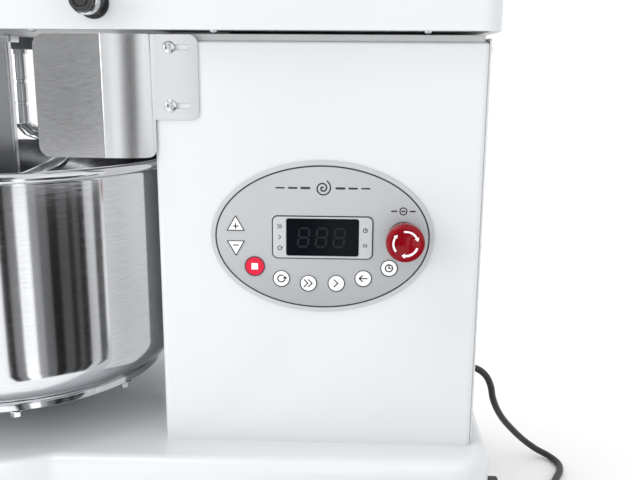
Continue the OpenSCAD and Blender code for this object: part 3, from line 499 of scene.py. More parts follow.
def cross_screw(radius, height):
    """A pan head with a cross recess, on local z = 0."""
    rim = 0.5
    side = [(radius * cosd(a), rim + (height - rim) * sind(a)) for a in (0, 12, 25, 38, 52, 66, 78)]
    dome = Shape().lathe([(0, 0), (radius, 0)] + side + [(0, height)], sides=32)
    cutter = Shape()
    arm, slot = radius * 0.58, radius * 0.13
    for a in (45, 135):
        outline = [(-arm, -slot), (arm, -slot), (arm, slot), (-arm, slot)]
        cutter.prism(outline, height * 0.3, height + 1, Matrix.Rotation(math.radians(a), 4, "Z"), 0, mark=1)
    meshes = []
    for part in (dome, cutter):
        mesh = bpy.data.meshes.new("tool")
        mesh.from_pydata([tuple(v) for v in part.vertices], [], part.faces)
        # The recess colour is painted shade.
        mesh.materials.append(RECESS_SHADE)
        meshes.append(bpy.data.objects.new("tool", mesh))
        bpy.context.scene.collection.objects.link(meshes[-1])
    cut = meshes[0].modifiers.new("cut", "BOOLEAN")
    cut.object, cut.operation, cut.solver, cut.use_self = meshes[1], "DIFFERENCE", "EXACT", True
    done = meshes[0].evaluated_get(bpy.context.evaluated_depsgraph_get()).to_mesh()
    head = Shape().add([v.co.copy() for v in done.vertices], [list(f.vertices) for f in done.polygons])
    for tool in meshes:
        bpy.data.objects.remove(tool)
    return head


def scatter(shape, places):
    made = Shape()
    for place in places:
        made.copy_in(shape, place)
    return made


SMALL_SCREW_R = 4
COVER_SCREWS_Z = (165, 363, 563)
HOOD_SCREW_Y = 90
SHIELD_SCREWS_Z = (506, 563.5)
SHIELD_SCREW_Y, SHIELD_SLOT = 44, 18


def make_screws():
    across = box("rear_cover_screws")[1].x - SMALL_SCREW_R
    outside = box("rear_cover")[1].y
    small = cross_screw(SMALL_SCREW_R, 2.4)
    places = [facing_y(x, outside, z) for x in (-across, across) for z in COVER_SCREWS_Z]
    scatter(small, places).make("rear_screws", "rear_cover_screws")
    low, high = box("head_screws")
    under = box("head_plate")[0].z
    places = [facing_down(x, y, under) for x in (low.x + SMALL_SCREW_R, high.x - SMALL_SCREW_R)
              for y in (low.y + SMALL_SCREW_R, HOOD_SCREW_Y, high.y - SMALL_SCREW_R)]
    scatter(small, places).make("hood_screws", "head_screws")


def make_shield_screws():
    reach = box("side_shield_right")[0].x + SHIELD_T
    large = cross_screw(6.3, 3.2)
    places = [facing_x(reach, SHIELD_SCREW_Y, z) for z in SHIELD_SCREWS_Z]
    places += [facing_back_x(-reach, SHIELD_SCREW_Y, z) for z in SHIELD_SCREWS_Z]
    scatter(large, places).make("shield_screw_heads", "shield_screws")


# ---------- base ----------

FEET_AT = ((-130, -290), (130, -290), (-140, 320), (140, 320))


def base_outline():
    """Round in front of the column and straight behind it."""
    low, high = box("base_shell")
    front_r, half, rear = high.x, 184, 178
    corner, side_y = 45, 60
    y0 = low.y + front_r
    meet = math.degrees(math.acos(half / front_r))
    return ([(half, side_y)] + arc(rear - corner, high.y - corner, corner, 0, 90, 12)
            + arc(corner - rear, high.y - corner, corner, 90, 180, 12) + [(-half, side_y)]
            + arc(0, y0, front_r, 180 - meet, 360 + meet, 96))


def make_base():
    low, high = box("base_shell")
    rounding, wall = 14, 2.5
    levels = [(wall, low.z + 30), (wall, low.z + 0.6), (wall - 0.6, low.z), (0.8, low.z), (0, low.z + 0.8)]
    levels += rounded_top(rounding, high.z, range(0, 91, 9)) + [(rounding + 2, high.z)]
    Shape().stack(base_outline(), levels).make("base_casing", "base_shell")


def make_feet():
    feet, studs = Shape(), Shape()
    low, high = box("foot_pads")
    side = [(28, 4), (27.4, 6), (25.6, 9), (25.6, 10.5), (24, 14), (23.4, 20)]
    profile = [(0, 0)] + arc(25, 1.5, 1.5, -90, 0, 3) + side + arc(21.5, 20, 2, 0, 90, 4) + [(0, high.z)]
    for x, y in FEET_AT:
        feet.lathe(profile, upright(x, y, low.z), 72)
        studs.lathe([(0, 22), (6, 22), (6, 51.2), (5.2, 52), (0, 52)], upright(x, y), 32)
        for z in (22, 32):
            studs.prism(hexagon(11), z, z + 6, upright(x, y), 0.7)
    feet.make("rubber_feet", "foot_pads")
    studs.make("foot_stud_nuts", "foot_studs")


def make_buffers():
    """Two ribbed blocks that keep the base off a wall."""
    buffers = Shape()
    low, high = box("wall_buffers")
    wide, edge, pitch, rib = 36, 4, 7, 1.2
    for s in (-1, 1):
        x0, x1 = sorted((-s * high.x, s * (wide - high.x)))
        buffers.prism(rounded_rect(x0, x1, low.z, high.z, edge), low.y, high.y, facing_y(), 2)
        for i in (1, 2, 3):
            z = low.z + pitch * i
            outline = rounded_rect(x0 + edge, x1 - edge, z - rib, z + rib, 1.1, 3)
            buffers.prism(outline, high.y - 1, high.y, facing_y(), 0)
    buffers.make("rear_buffers", "wall_buffers")


# ---------- column ----------

def make_column():
    low, high = box("column_shell")
    outline = rounded_rect(low.x, high.x, low.y, high.y, 6, 8)
    lip, rounding = 12, 3
    levels = [(0, low.z), (0, high.z - rounding)] + rounded_top(rounding, high.z, range(15, 91, 15))
    levels += [(lip, high.z), (lip, high.z - 3), (3, high.z - 5), (3, low.z)]
    Shape().stack(outline, levels, looped=True).make("column_casing", "column_shell")
    c_low, c_high = box("column_collar")
    neck = rounded_rect(c_low.x, c_high.x, c_low.y, c_high.y, 3)
    Shape().prism(neck, c_low.z, c_high.z, edge=0.8).make("column_neck", "column_collar")


def inside(point, outline):
    """Whether a point is inside an outline."""
    x, y = point
    odd = False
    for i, (x1, y1) in enumerate(outline):
        x0, y0 = outline[i - 1]
        if (y0 > y) != (y1 > y) and x < x0 + (y - y0) * (x1 - x0) / (y1 - y0):
            odd = not odd
    return odd


def sheet(outline, holes, thickness, bend, lines=()):
    """A bent sheet. bend(s, t) gives the middle surface's point and normal. It folds at each s of lines."""
    points, edges = [], []
    for loop in [outline] + holes:
        start = len(points)
        points += [Vector(p) for p in loop]
        edges += [(start + i, start + (i + 1) % len(loop)) for i in range(len(loop))]
    low, high = min(p.y for p in points) - 1, max(p.y for p in points) + 1
    for s in lines:
        edges.append((len(points), len(points) + 1))
        points += [Vector((s, low)), Vector((s, high))]
    flat, _, triangles, *_ = delaunay_2d_cdt(points, edges, [], 0, 1e-5)
    kept = []
    for tri in triangles:
        centre = sum((flat[i] for i in tri), Vector((0, 0))) / 3
        if inside(centre, outline) and not any(inside(centre, hole) for hole in holes):
            kept.append(list(tri))
    used = sorted({i for tri in kept for i in tri})
    number = {i: k for k, i in enumerate(used)}
    kept = [[number[i] for i in tri] for tri in kept]
    count = len(used)
    above, below = [], []
    for i in used:
        at, normal = bend(flat[i].x, flat[i].y)
        above.append(at + normal * thickness / 2)
        below.append(at - normal * thickness / 2)
    sides = {(tri[k], tri[(k + 1) % 3]) for tri in kept for k in range(3)}
    faces = kept + [[i + count for i in tri[::-1]] for tri in kept]
    faces += [[b, a, a + count, b + count] for a, b in sides if (b, a) not in sides]
    return Shape().add(above + below, faces)


def make_rear_cover():
    low, high = box("rear_cover")
    gland = middle("cord_gland")
    outline = rounded_rect(low.x, high.x, low.z, high.z, 6)
    vent_low, vent_high, half = 428, 478, 2
    holes = [circle(gland.x, gland.z, 8.2, 32)]
    holes += [rounded_rect(x - half, x + half, vent_low, vent_high, 1.95, 4) for x in range(-45, 46, 10)]
    y = (low.y + high.y) / 2
    cover = sheet(outline, holes, high.y - low.y, lambda s, t: (Vector((s, y, t)), Vector((0, 1, 0))))
    cover.make("rear_sheet", "rear_cover", bevel=0.4)
    inner = box("cord_gland")[0].y
    nut = Shape().lathe([(0, 0), (8, 0), (8, 10), (0, 10)], facing_y(gland.x, inner, gland.z), 32)
    nut.lathe([(0, 0), (11.5, 0), (11.5, 1.2), (10.7, 2), (0, 2)], facing_y(gland.x, high.y, gland.z), 48)
    nut.prism(hexagon(12), inner, inner + 5, facing_y(gland.x, 0, gland.z), 0.5)
    nut.make("cord_gland_nut", "cord_gland")


# ---------- splash shields ----------

SHIELD_T = 1.5
SHIELD_STEP, SHIELD_LEAN = 13, 4
SHIELD_FOLD_Y, SHIELD_TAB_Y, SHIELD_TAB_Z = -20, 28, 492


def rounded_path(corners):
    """An outline through corners (x, y, radius), each rounded."""
    made = []
    for i, (x, y, r) in enumerate(corners):
        here = Vector((x, y))
        before = (Vector(corners[i - 1][:2]) - here).normalized()
        after = (Vector(corners[(i + 1) % len(corners)][:2]) - here).normalized()
        if r == 0:
            made.append((x, y))
            continue
        bend = before.angle(after)
        reach = r / math.tan(bend / 2)
        centre = here + (before + after).normalized() * (r / math.sin(bend / 2))
        a, b = here + before * reach - centre, here + after * reach - centre
        start = math.degrees(math.atan2(a.y, a.x))
        turn = math.degrees(math.atan2(a.x * b.y - a.y * b.x, a.dot(b)))
        made += arc(centre.x, centre.y, r, start, start + turn, 8)
    return made


def make_shields():
    low, high = box("side_shield_right")
    x0, col_y = low.x + SHIELD_T / 2, box("column_shell")[0].y
    steps = 12
    profile = [(x0, high.y), (x0, col_y + 3)]
    for i in range(1, steps + 1):
        a = 90 * i / steps
        profile.append((x0 + SHIELD_STEP * sind(a), col_y - (col_y - SHIELD_FOLD_Y) * (1 - cosd(a))))
    crest = x0 + SHIELD_STEP
    profile += [(crest + 0.12, SHIELD_FOLD_Y - 0.8), (crest - 0.5, SHIELD_FOLD_Y - 1.8)]
    profile.append((crest - SHIELD_LEAN, low.y))

    def bend(s, t):
        """s runs along -y, and the sheet's x follows the profile."""
        y = -s
        for (xa, ya), (xb, yb) in zip(profile, profile[1:]):
            if yb <= y + 1e-6:
                share = min(1, max(0, (ya - y) / (ya - yb)))
                normal = Vector((ya - yb, xb - xa, 0)).normalized()
                return Vector((xa + (xb - xa) * share, y, t)), normal
        return Vector((profile[-1][0], y, t)), Vector((1, 0, 0))

    outline = rounded_path([(-high.y, SHIELD_TAB_Z, 9), (-SHIELD_TAB_Y, SHIELD_TAB_Z, 0),
                            (-SHIELD_TAB_Y, low.z, 8), (-low.y, low.z, 12), (-low.y, high.z, 12),
                            (-high.y, high.z, 9)])
    slots = [rounded_rect(-SHIELD_SCREW_Y - SHIELD_SLOT - 3, -SHIELD_SCREW_Y + 3, z - 3, z + 3, 2.9, 5)
             for z in SHIELD_SCREWS_Z]
    folds = [-y for _, y in profile[1:-1]]
    one = sheet(outline, slots, SHIELD_T, bend, folds)
    one.make("splash_shield_right", "side_shield_right", smooth=25, bevel=0.35)
    other = Shape()
    other.copy_in(one, Matrix.Diagonal((-1, 1, 1, 1)))
    other.make("splash_shield_left", "side_shield_left", smooth=25, bevel=0.35)


# ---------- head ----------

def head_outline(depth):
    """Straight sides and rear with a superelliptic nose, moved inwards by depth."""
    low, high = box("head_cover")
    nose_l, corner, power = 185, 22, 2 / 3
    nose_y = low.y + nose_l
    a, l = high.x - depth, nose_l - depth
    r = max(4, corner - depth)
    y1 = high.y - depth
    nose = [(-a * math.copysign(abs(cosd(t)) ** power, cosd(t)), nose_y - l * abs(sind(t)) ** power)
            for t in [180 * i / 96 for i in range(97)]]
    return nose + arc(a - r, y1 - r, r, 0, 90, 10) + arc(r - a, y1 - r, r, 90, 180, 10)


def make_head():
    low, high = box("head_cover")
    rounding, wall, lip = 28, 2.5, 0.9
    levels = [(rounding + 6, high.z - wall)]
    levels += [(wall + d, z) for d, z in rounded_top(rounding - wall, high.z - wall, range(90, -1, -15))]
    levels += [(wall, low.z + lip), (wall - lip, low.z), (lip, low.z), (lip / 4, low.z + lip / 4),
               (0, low.z + lip)]
    levels += rounded_top(rounding, high.z, range(0, 91, 6)) + [(rounding + 6, high.z)]
    rings = [[(x, y, z) for x, y in head_outline(d)] for d, z in levels]
    Shape().loft(rings).make("head_hood", "head_cover")


# ---------- bowl ----------

def make_bowl():
    low, high = box("bowl")
    at = middle("bowl")
    rim_r, wall_r, wall, corner, bead = high.x, 200, 2, 40, 5.5
    profile = [(0, low.z)] + arc(wall_r - corner, low.z + corner, corner, -90, 0, 24)
    profile += [(wall_r, high.z - 2 * bead - 2), (wall_r + 0.5, high.z - 2 * bead - 0.6)]
    profile += arc(rim_r - bead, high.z - bead, bead, -80, 90, 16)
    profile += arc(wall_r - wall + 1.5, high.z - 1.5, 1.5, 90, 180, 4)
    profile += arc(wall_r - corner, low.z + corner, corner - wall, 0, -90, 24) + [(0, low.z + wall)]
    Shape().lathe(profile, upright(at.x, at.y), 240).make("steel_bowl", "bowl")
    t_low, t_high = box("turntable")
    disc_z, disc_r = t_high.z - 10, t_high.x
    profile = [(0, t_low.z), (29, t_low.z), (30, t_low.z + 1), (30, disc_z), (disc_r - 1.2, disc_z),
               (disc_r, disc_z + 1.2), (disc_r, t_high.z - 3), (disc_r - 0.4, t_high.z - 2),
               (disc_r - 3, t_high.z), (0, t_high.z)]
    Shape().lathe(profile, upright(at.x, at.y), 240).make("turntable_disc", "turntable")
    bolts = Shape()
    ring_r, first, head = 165, 19.8, 8
    for i in range(8):
        a = first + 45 * i
        place = upright(at.x + ring_r * cosd(a), at.y + ring_r * sind(a), disc_z)
        bolts.lathe([(0, -1.4), (8, -1.4), (8.4, -1), (8.4, 0), (0, 0)], place, 32)
        bolts.prism(hexagon(6.2), -head, -1.3, place, 0.8)
        bolts.lathe([(0, -head), (4.6, -head), (4.9, -head + 0.4), (0, -head + 0.4)], place, 32)
    bolts.make("turntable_bolt_heads", "turntable_bolts")


# ---------- spiral and breaker bar ----------

SPIRAL_R, SPIRAL_BAR, SPIRAL_TURNS, SPIRAL_TOP, SPIRAL_LOW = 85, 9, 1.6, 470, 207


def hook_point(t):
    """Out from the shaft, down in turns, and in again at the bottom, with t from 0 to 1."""
    grow, shrink = 0.22, 0.86
    reach = SPIRAL_R - SPIRAL_BAR
    if t < grow:
        reach *= sind(90 * t / grow)
    elif t > shrink:
        reach *= cosd(62 * (t - shrink) / (1 - shrink))
    fall = min(1, t / shrink) ** 1.1
    z = SPIRAL_TOP - 4 - (SPIRAL_TOP - 4 - SPIRAL_LOW) * fall
    a = 150 - 360 * SPIRAL_TURNS * t
    return reach * cosd(a), reach * sind(a), z


def make_spiral():
    x, y, _ = SPIRAL_AXIS
    low, high = box("spiral_shaft")
    path = [(0, 0, SPIRAL_TOP + 2)] + [hook_point(i / 200) for i in range(3, 201)]
    Shape().tube(path, SPIRAL_BAR, 28, upright(x, y)).make("spiral_hook_bar", "spiral_hook")
    r, groove, collar = 9.5, 1.1, 12
    profile = [(0, low.z), (r - 1.5, low.z), (r, low.z + 1.5)]
    for z in (495, 523):
        profile += [(r, z), (r - groove, z + 0.8), (r - groove, z + 4.2), (r, z + 5)]
    profile += [(r, 559), (r + 0.4, 560), (collar, 560), (collar, high.z - 1), (collar - 1, high.z),
                (0, high.z)]
    Shape().lathe(profile, upright(x, y), 64).make("spiral_drive_shaft", "spiral_shaft")


def make_breaker_bar():
    low, high = box("breaker_bar")
    thick, wide, foot = 12, 47, 8
    y0 = (low.y + high.y) / 2 - wide / 2
    lower = arc(y0 + wide / 2, low.z + wide / 2, wide / 2, 180, 360, 24)
    outline = lower + [(y0 + wide, high.z - foot / 2), (y0, high.z - foot / 2)]
    bar = Shape().prism(outline, 0, thick, facing_x(), 2.2, 4)
    flange = rounded_rect(low.x, high.x, low.y, high.y, 3)
    bar.prism(flange, high.z - foot, high.z, edge=0.8)
    bar.make("breaker_blade", "breaker_bar")


# ---------- bowl guard ----------

GUARD_OPEN = 110
GUARD_R, GUARD_MID, GUARD_IN, GUARD_ROD, GUARD_WIRE = 200, 175, 150, 5, 3
GUARD_LIFT = 24


def make_guard():
    pivot = middle("guard_pivots")
    arm_x = 174
    y0, z0 = BOWL_AXIS[1] - pivot.y, box("bowl")[1].z + GUARD_LIFT - pivot.z
    turned = upright(0, pivot.y, pivot.z) @ Matrix.Rotation(math.radians(-GUARD_OPEN), 4, "X")
    end = math.degrees(math.acos(arm_x / GUARD_R))
    meet = y0 + GUARD_R * sind(end)
    guard = Shape()

    def bow(r, start, stop):
        return [(x, y0 + y, z0) for x, y in arc(0, 0, r, start, stop, 72)]

    main = bow(GUARD_R, 180 - end, 360 + end)
    blend = 12
    left = [Vector((-arm_x, 0, 0)).lerp(Vector((-arm_x, meet, z0)), i / blend) for i in range(blend)]
    right = [Vector((arm_x, meet, z0)).lerp(Vector((arm_x, 0, 0)), (i + 1) / blend) for i in range(blend)]
    guard.tube(left + main + right, GUARD_ROD, 18, turned)
    guard.tube(bow(GUARD_MID, 177, 363), GUARD_WIRE, 14, turned)
    guard.tube(bow(GUARD_IN, 200, 340), GUARD_WIRE, 14, turned)
    ribs = [(a, GUARD_IN) for a in range(200, 341, 14)] + [(178, GUARD_MID), (362, GUARD_MID)]
    for a, r in ribs:
        ends = [(k * cosd(a), y0 + k * sind(a), z0 + 2.2) for k in (r - 2, GUARD_R)]
        guard.tube(ends, GUARD_WIRE - 0.5, 12, turned)
    for s in (-1, 1):
        sleeve = [(6.1, -6), (12, -6), (13, -5), (13, 5), (12, 6), (6.1, 6)]
        guard.lathe(sleeve, facing_x(s * arm_x, pivot.y, pivot.z), 48, looped=True)
    guard.make("bowl_guard_bow", "guard_frame")


def make_pivots():
    at = middle("guard_pivots")
    head = box("head_cover")[1].x
    bolts = Shape()
    for place in (facing_x(head, at.y, at.z), facing_back_x(-head, at.y, at.z)):
        bolts.lathe([(0, 0), (15.5, 0), (15.5, 1.5), (0, 1.5)], place, 48)
        bolts.prism(hexagon(13.5), 1.5, 17, place, 1.0)
        bolts.lathe([(0, -14), (6, -14), (6, 38), (0, 38)], place, 32)
        cap = [(0, 31), (10.4, 31), (11.2, 31.8), (11.2, 37.6), (10, 39), (8, 39), (7.2, 38.2), (7, 36.4),
               (0, 36.4)]
        bolts.lathe(cap, place, 64)
        bolts.prism(hexagon(4.2), 36.2, 37.2, place, 0.2)
    bolts.make("guard_pivot_bolts", "guard_pivots")


# ---------- control panel ----------

FILM, THIN_FILM = 0.12, 0.06


class Print(Shape):
    """Printed marks: thin closed films on a face at x, in (y, z)."""

    def __init__(self, face, film=FILM):
        super().__init__()
        self.low, self.high = face - film, face + film

    def patch(self, outline):
        return self.prism(outline, self.low, self.high, facing_x(), 0)

    def ring(self, outer, inner):
        return self.band(outer, inner, self.low, self.high, facing_x())

    def stroke(self, points, width):
        for (ya, za), (yb, zb) in zip(points, points[1:]):
            along = Vector((yb - ya, zb - za)).normalized()
            turn = math.degrees(math.atan2(along.y, along.x))
            ends = arc(ya, za, width / 2, turn + 90, turn + 270, 5)
            self.patch(ends + arc(yb, zb, width / 2, turn - 90, turn + 90, 5))
        return self


def chevron(mark, y, z, s, width):
    mark.stroke([(y - 0.28 * s, z + 0.5 * s), (y + 0.22 * s, z), (y - 0.28 * s, z - 0.5 * s)], width)


def draw_fast(mark, y, z, s, width):
    chevron(mark, y - 0.3 * s, z, s, width)
    chevron(mark, y + 0.3 * s, z, s, width)


def draw_reverse(mark, y, z, s, width):
    mark.stroke([(y + 0.55 * s, z), (y - 0.5 * s, z)], width)
    mark.stroke([(y - 0.1 * s, z + 0.42 * s), (y - 0.55 * s, z), (y - 0.1 * s, z - 0.42 * s)], width)


def draw_auto(mark, y, z, s, width):
    r = 0.5 * s
    mark.stroke(arc(y, z, r, 60, 350, 12), width)
    tip = 0.34 * s
    mark.patch([(y + r - tip, z - 0.02 * s), (y + r + tip, z - 0.02 * s), (y + r, z + tip * 1.3)])


def draw_time(mark, y, z, s, width):
    mark.ring(circle(y, z, 0.58 * s, 32), circle(y, z, 0.58 * s - width, 32))
    mark.stroke([(y, z + 0.36 * s), (y, z), (y + 0.26 * s, z)], width * 0.9)


def draw_minutes(mark, y, z, s, width):
    for i in (-1, 0, 1):
        mark.stroke([(y + 0.4 * s * i, z - 0.35 * s), (y + 0.4 * s * i, z + 0.35 * s)], width)


def digit(mark, y, z, height, wide):
    """The seven dim segments of an unlit figure, leaning a little."""
    lean, t, half, up = 0.1, 1.15, wide / 2, height / 2
    bars = [((-half, up), (half, up)), ((-half, 0), (half, 0)), ((-half, -up), (half, -up))]
    bars += [((s * half, a * up), (s * half, 0)) for s in (-1, 1) for a in (-1, 1)]
    for (y0, z0), (y1, z1) in bars:
        d = Vector((y1 - y0, z1 - z0)).normalized()
        n = Vector((-d.y, d.x)) * t
        a, b = Vector((y0, z0)) + d * 0.5, Vector((y1, z1)) - d * 0.5
        points = [a, a + d * t - n, b - d * t - n, b, b - d * t + n, a + d * t + n]
        mark.patch([(y + p.x + lean * p.y, z + p.y) for p in points])


def triangle(y, z, r, s, corner=0.6):
    """A key's rounded triangle that points up for s = 1 and down for s = -1."""
    corners = [(y + r * cosd(a), z + s * r * sind(a), corner) for a in (90, 210, 330)]
    return rounded_path(corners if s > 0 else corners[::-1])


def make_panel():
    low, high = box("panel_plate")
    _, y, z = middle("panel_plate")
    a, b = (high.y - low.y) / 2, (high.z - low.z) / 2
    face = high.x
    Shape().prism(ellipse(y, z, a, b), low.x, face, facing_x(), 0.7).make("panel_oval", "panel_plate")
    line_in = 5.2
    field = Print(face, THIN_FILM)
    field.patch(ellipse(y, z, a - line_in, b - line_in))
    field.make("panel_field_film", "panel_plate", looks=[FIELD], stands_for=False)
    mark = Print(face)
    mark.ring(*(ellipse(y, z, a - line_in + half, b - line_in + half) for half in (0.8, -0.8)))
    b_low, b_high = box("display_bezel")
    frame_edge = rounded_rect(b_low.y - 0.8, b_high.y + 0.8, b_low.z - 0.8, b_high.z + 0.8, 5.6)
    mark.ring(inset(frame_edge, -0.5), inset(frame_edge, 0.8))
    title_z, middle_y = b_high.z + 30, (b_low.y + b_high.y) / 2
    coil = [(middle_y + 0.011 * t * cosd(t), title_z + 0.011 * t * sind(t)) for t in range(60, 781, 24)]
    mark.stroke(coil, 1.4)
    for s in (-1, 1):
        for i in range(3):
            start = middle_y + s * (14 + 13 * i)
            mark.stroke([(start, title_z), (start + s * 8, title_z)], 2.4 - 0.4 * i)
    stop_at = middle("estop_head")
    sign_y, sign_z = stop_at.y - 1, stop_at.z + 27
    mark.ring(circle(sign_y, sign_z, 4.4, 8), circle(sign_y, sign_z, 3.1, 8))
    mark.stroke([(sign_y - 1.6, sign_z), (sign_y + 1.6, sign_z)], 1.4)
    for s in (-1, 1):
        mark.stroke([(sign_y + s * 7, sign_z), (sign_y + s * 12, sign_z)], 1.6)
    mark.make("panel_print", "panel_plate", looks=[INK], stands_for=False)


def make_display():
    low, high = box("display_bezel")
    w_low, w_high = box("display_window")
    rim = Shape()
    outer = rounded_rect(low.y, high.y, low.z, high.z, 5, 6)
    inner = rounded_rect(w_low.y - 1.4, w_high.y + 1.4, w_low.z - 1.4, w_high.z + 1.4, 2.2, 6)
    edge = 0.5
    levels = [(outer, 0, low.x), (outer, 0, high.x - edge), (outer, edge * 0.3, high.x - edge * 0.3),
              (outer, edge, high.x), (inner, -edge, high.x), (inner, 0, high.x - edge), (inner, 0, low.x)]
    rim.loft([[(p, q, x) for p, q in inset(line, d)] for line, d, x in levels], facing_x(), looped=True)
    rim.make("display_frame", "display_bezel")
    glass = rounded_rect(w_low.y - 1.3, w_high.y + 1.3, w_low.z - 1.3, w_high.z + 1.3, 2.1, 6)
    pane_x, pitch = w_high.x + 0.7, 18.5
    pane = Shape().prism(glass, w_low.x, pane_x, facing_x(), 0.9, 3)
    pane.make("display_pane", "display_window")
    digits = Print(pane_x, 0.05)
    _, centre_y, centre_z = middle("display_window")
    for i in (-1, 0, 1):
        digit(digits, centre_y + pitch * i - 1, centre_z, 19.5, 10.5)
    digits.make("display_digits", "display_window", looks=[GHOST], stands_for=False)
    mark = Print(high.x, THIN_FILM)
    left, right = (low.y + w_low.y) / 2 - 0.4, (high.y + w_high.y) / 2 + 0.4
    for draw, up in ((draw_fast, 11.5), (chevron, 0), (draw_auto, -11.5)):
        draw(mark, left, centre_z + up, 4.2, 0.8)
    for draw, up in ((draw_time, 8), (draw_minutes, -8)):
        draw(mark, right, centre_z + up, 4.4, 0.8)
    mark.make("display_labels", "display_bezel", looks=[INK], stands_for=False)


KEY_FLANGE, KEY_EDGE = 1.2, 0.45


def make_round_key(node, draw):
    """A round cap with a printed ring and symbol. The stop key's symbol is a white square."""
    low, high = box(node)
    at = middle(node)
    r = (high.y - low.y) / 2 - KEY_FLANGE
    cap = Shape().prism(circle(at.y, at.z, r), low.x, high.x, facing_x(), KEY_EDGE)
    cap.make(node + "_cap", node)
    mark = Print(high.x, THIN_FILM)
    mark.ring(circle(at.y, at.z, r - 0.05), circle(at.y, at.z, r - 1.15))
    if draw:
        draw(mark, at.y, at.z, 7.6, 1.35)
    else:
        half = 3.4
        white = Print(high.x, THIN_FILM)
        white.patch(rounded_rect(at.y - half, at.y + half, at.z - half, at.z + half, 0.5, 3))
        white.make(node + "_symbol", node, looks=[WHITE_INK], stands_for=False)
    mark.make(node + "_print", node, looks=[INK], stands_for=False)


def make_arrow_key(node, s):
    low, high = box(node)
    flange_r, r = 14, 11.5
    y, z = (low.y + high.y) / 2, (low.z + flange_r / 2 if s > 0 else high.z - flange_r / 2)
    Shape().prism(triangle(y, z, r, s), low.x, high.x, facing_x(), KEY_EDGE).make(node + "_cap", node)
    mark = Print(high.x, THIN_FILM)
    edge = triangle(y, z, r - 0.2, s)
    mark.ring(edge, inset(edge, 1.1))
    mark.stroke([(y - 2.6, z - s * 0.6), (y + 2.6, z - s * 0.6)], 1.3)
    if s > 0:
        mark.stroke([(y, z - 3.2), (y, z + 2.0)], 1.3)
    mark.make(node + "_print", node, looks=[INK], stands_for=False)


def make_keys():
    for node, draw in (("key_stop", None), ("key_auto", draw_auto), ("key_fast", draw_fast),
                       ("key_slow", chevron), ("key_reverse", draw_reverse), ("key_time", draw_time)):
        make_round_key(node, draw)
    make_arrow_key("key_up", 1)
    make_arrow_key("key_down", -1)


DISH_R = 15.5


def dish(r):
    """Height of the stop head's dished top at radius r."""
    rim, deep = 21, 3.4
    return rim - deep * (1 - (r / DISH_R) ** 2) ** 1.2 if r < DISH_R else rim


def make_stop():
    low, high = box("estop_head")
    at = middle("estop_head")
    place = facing_x(low.x, at.y, at.z)
    r = (high.y - low.y) / 2
    profile = [(0, 0), (13, 0), (14, 0.6), (r - 1.4, 5.2), (r - 0.3, 6.4), (r, 8)]
    profile += arc(r - 3.8, 17, 3.8, 0, 90, 10)
    inward = [DISH_R - DISH_R * i / 14 for i in range(15)]
    profile = profile[:-1] + [(q, dish(q)) for q in inward]
    Shape().lathe(profile, place, 96).make("stop_mushroom", "estop_head")
    arrows = Shape()
    swept, tip_swept, arrow_at, sunk, proud = 72, 16, 12.3, -0.3, 0.14
    for i in range(3):
        start = 100 - 120 * i
        shaft = [(start - swept * k / 14, 1.0) for k in range(15)]
        tip = [(start - swept - tip_swept * k / 4, 2.3 * (1 - k / 4) + 0.05) for k in range(5)]
        rings = []
        for a, half in shaft + tip:
            near, far = arrow_at - half, arrow_at + half
            section = ((near, sunk), (far, sunk), (far, proud), (near, proud))
            rings.append([(q * cosd(a), q * sind(a), dish(q) + h) for q, h in section])
        arrows.loft(rings, place)
    arrows.make("stop_arrows", "estop_head", looks=[WHITE_INK], stands_for=False)
    c_low, c_high = box("estop_collar")
    face = box("panel_plate")[1].x
    rim = [(8.1, c_low.x), (11, c_low.x), (11, face), (15.6, face), (16.5, face + 0.9),
           (16.5, c_high.x - 2.5), (15.7, c_high.x - 1.2), (13.5, c_high.x), (8.1, c_high.x)]
    collar = Shape().lathe(rim, facing_x(0, at.y, at.z), 96, looped=True)
    for k in range(24):
        grip = Matrix.Rotation(math.radians(15 * k), 4, "Z")
        collar.prism(rounded_rect(15.9, 16.5, -0.7, 0.7, 0.25, 2), face + 1.4, c_high.x - 2.8,
                     facing_x(0, at.y, at.z) @ grip, 0)
    nut_in = box("column_shell")[1].x - 2.5
    collar.band(circle(0, 0, 15, 48), circle(0, 0, 11, 48), nut_in - 6, nut_in, facing_x(0, at.y, at.z))
    collar.make("stop_collar", "estop_collar")


# ---------- CAD nodes that stay ----------

def dress_cad_nodes():
    for name, node in frame["nodes"].items():
        look = LOOK[SLOT[name]]
        if node.material_slots:
            for place in node.material_slots:
                place.material = look
        else:
            node.data.materials.append(look)


# ---------- studio ----------

def softbox(name, at, target, width, power):
    """A square area light that faces its target."""
    light = bpy.data.lights.new(name, "AREA")
    light.shape, light.size, light.size_y = "RECTANGLE", width, width
    light.energy = power
    lamp = bpy.data.objects.new(name, light)
    lamp.location = at
    lamp.rotation_euler = (Vector(target) - Vector(at)).to_track_quat("-Z", "Y").to_euler()
    bpy.context.scene.collection.objects.link(lamp)


# What stands round the machine and shows in its steel: bearings in degrees round SURROUND_AT, from +X
# towards +Y, and how bright each stretch is beside the white studio. The bowl shows the low ones and the
# splash shield the high ones.
LOW_SURROUNDINGS = [(10, 15.5, 0.02), (15.5, 22, 0.3), (22, 31, 1.8), (31, 37, 0.45), (37, 44, 0.2),
                    (44, 51, 0.02), (51, 58, 0.12), (58, 62, 0.03), (62, 66, 0.12), (66, 71, 0.03),
                    (71, 78, 0.85), (78, 84, 0.1)]
HIGH_SURROUNDINGS = [(-50, -28, 0.22), (-28, -19, 0.02), (-19, -13, 0.6), (-13, -7, 0.9), (-7, 3, 1.8),
                     (3, 9, 0.35), (9, 16, 0.04), (16, 24, 0.25), (24, 84, 1.15)]
SURROUND_AT, SURROUND_R, SURROUND_IN = (0.16, -0.08), 0.7, 0.3
SURROUND_LOW, SURROUND_MID, SURROUND_TOP = 0.003, 0.34, 0.95


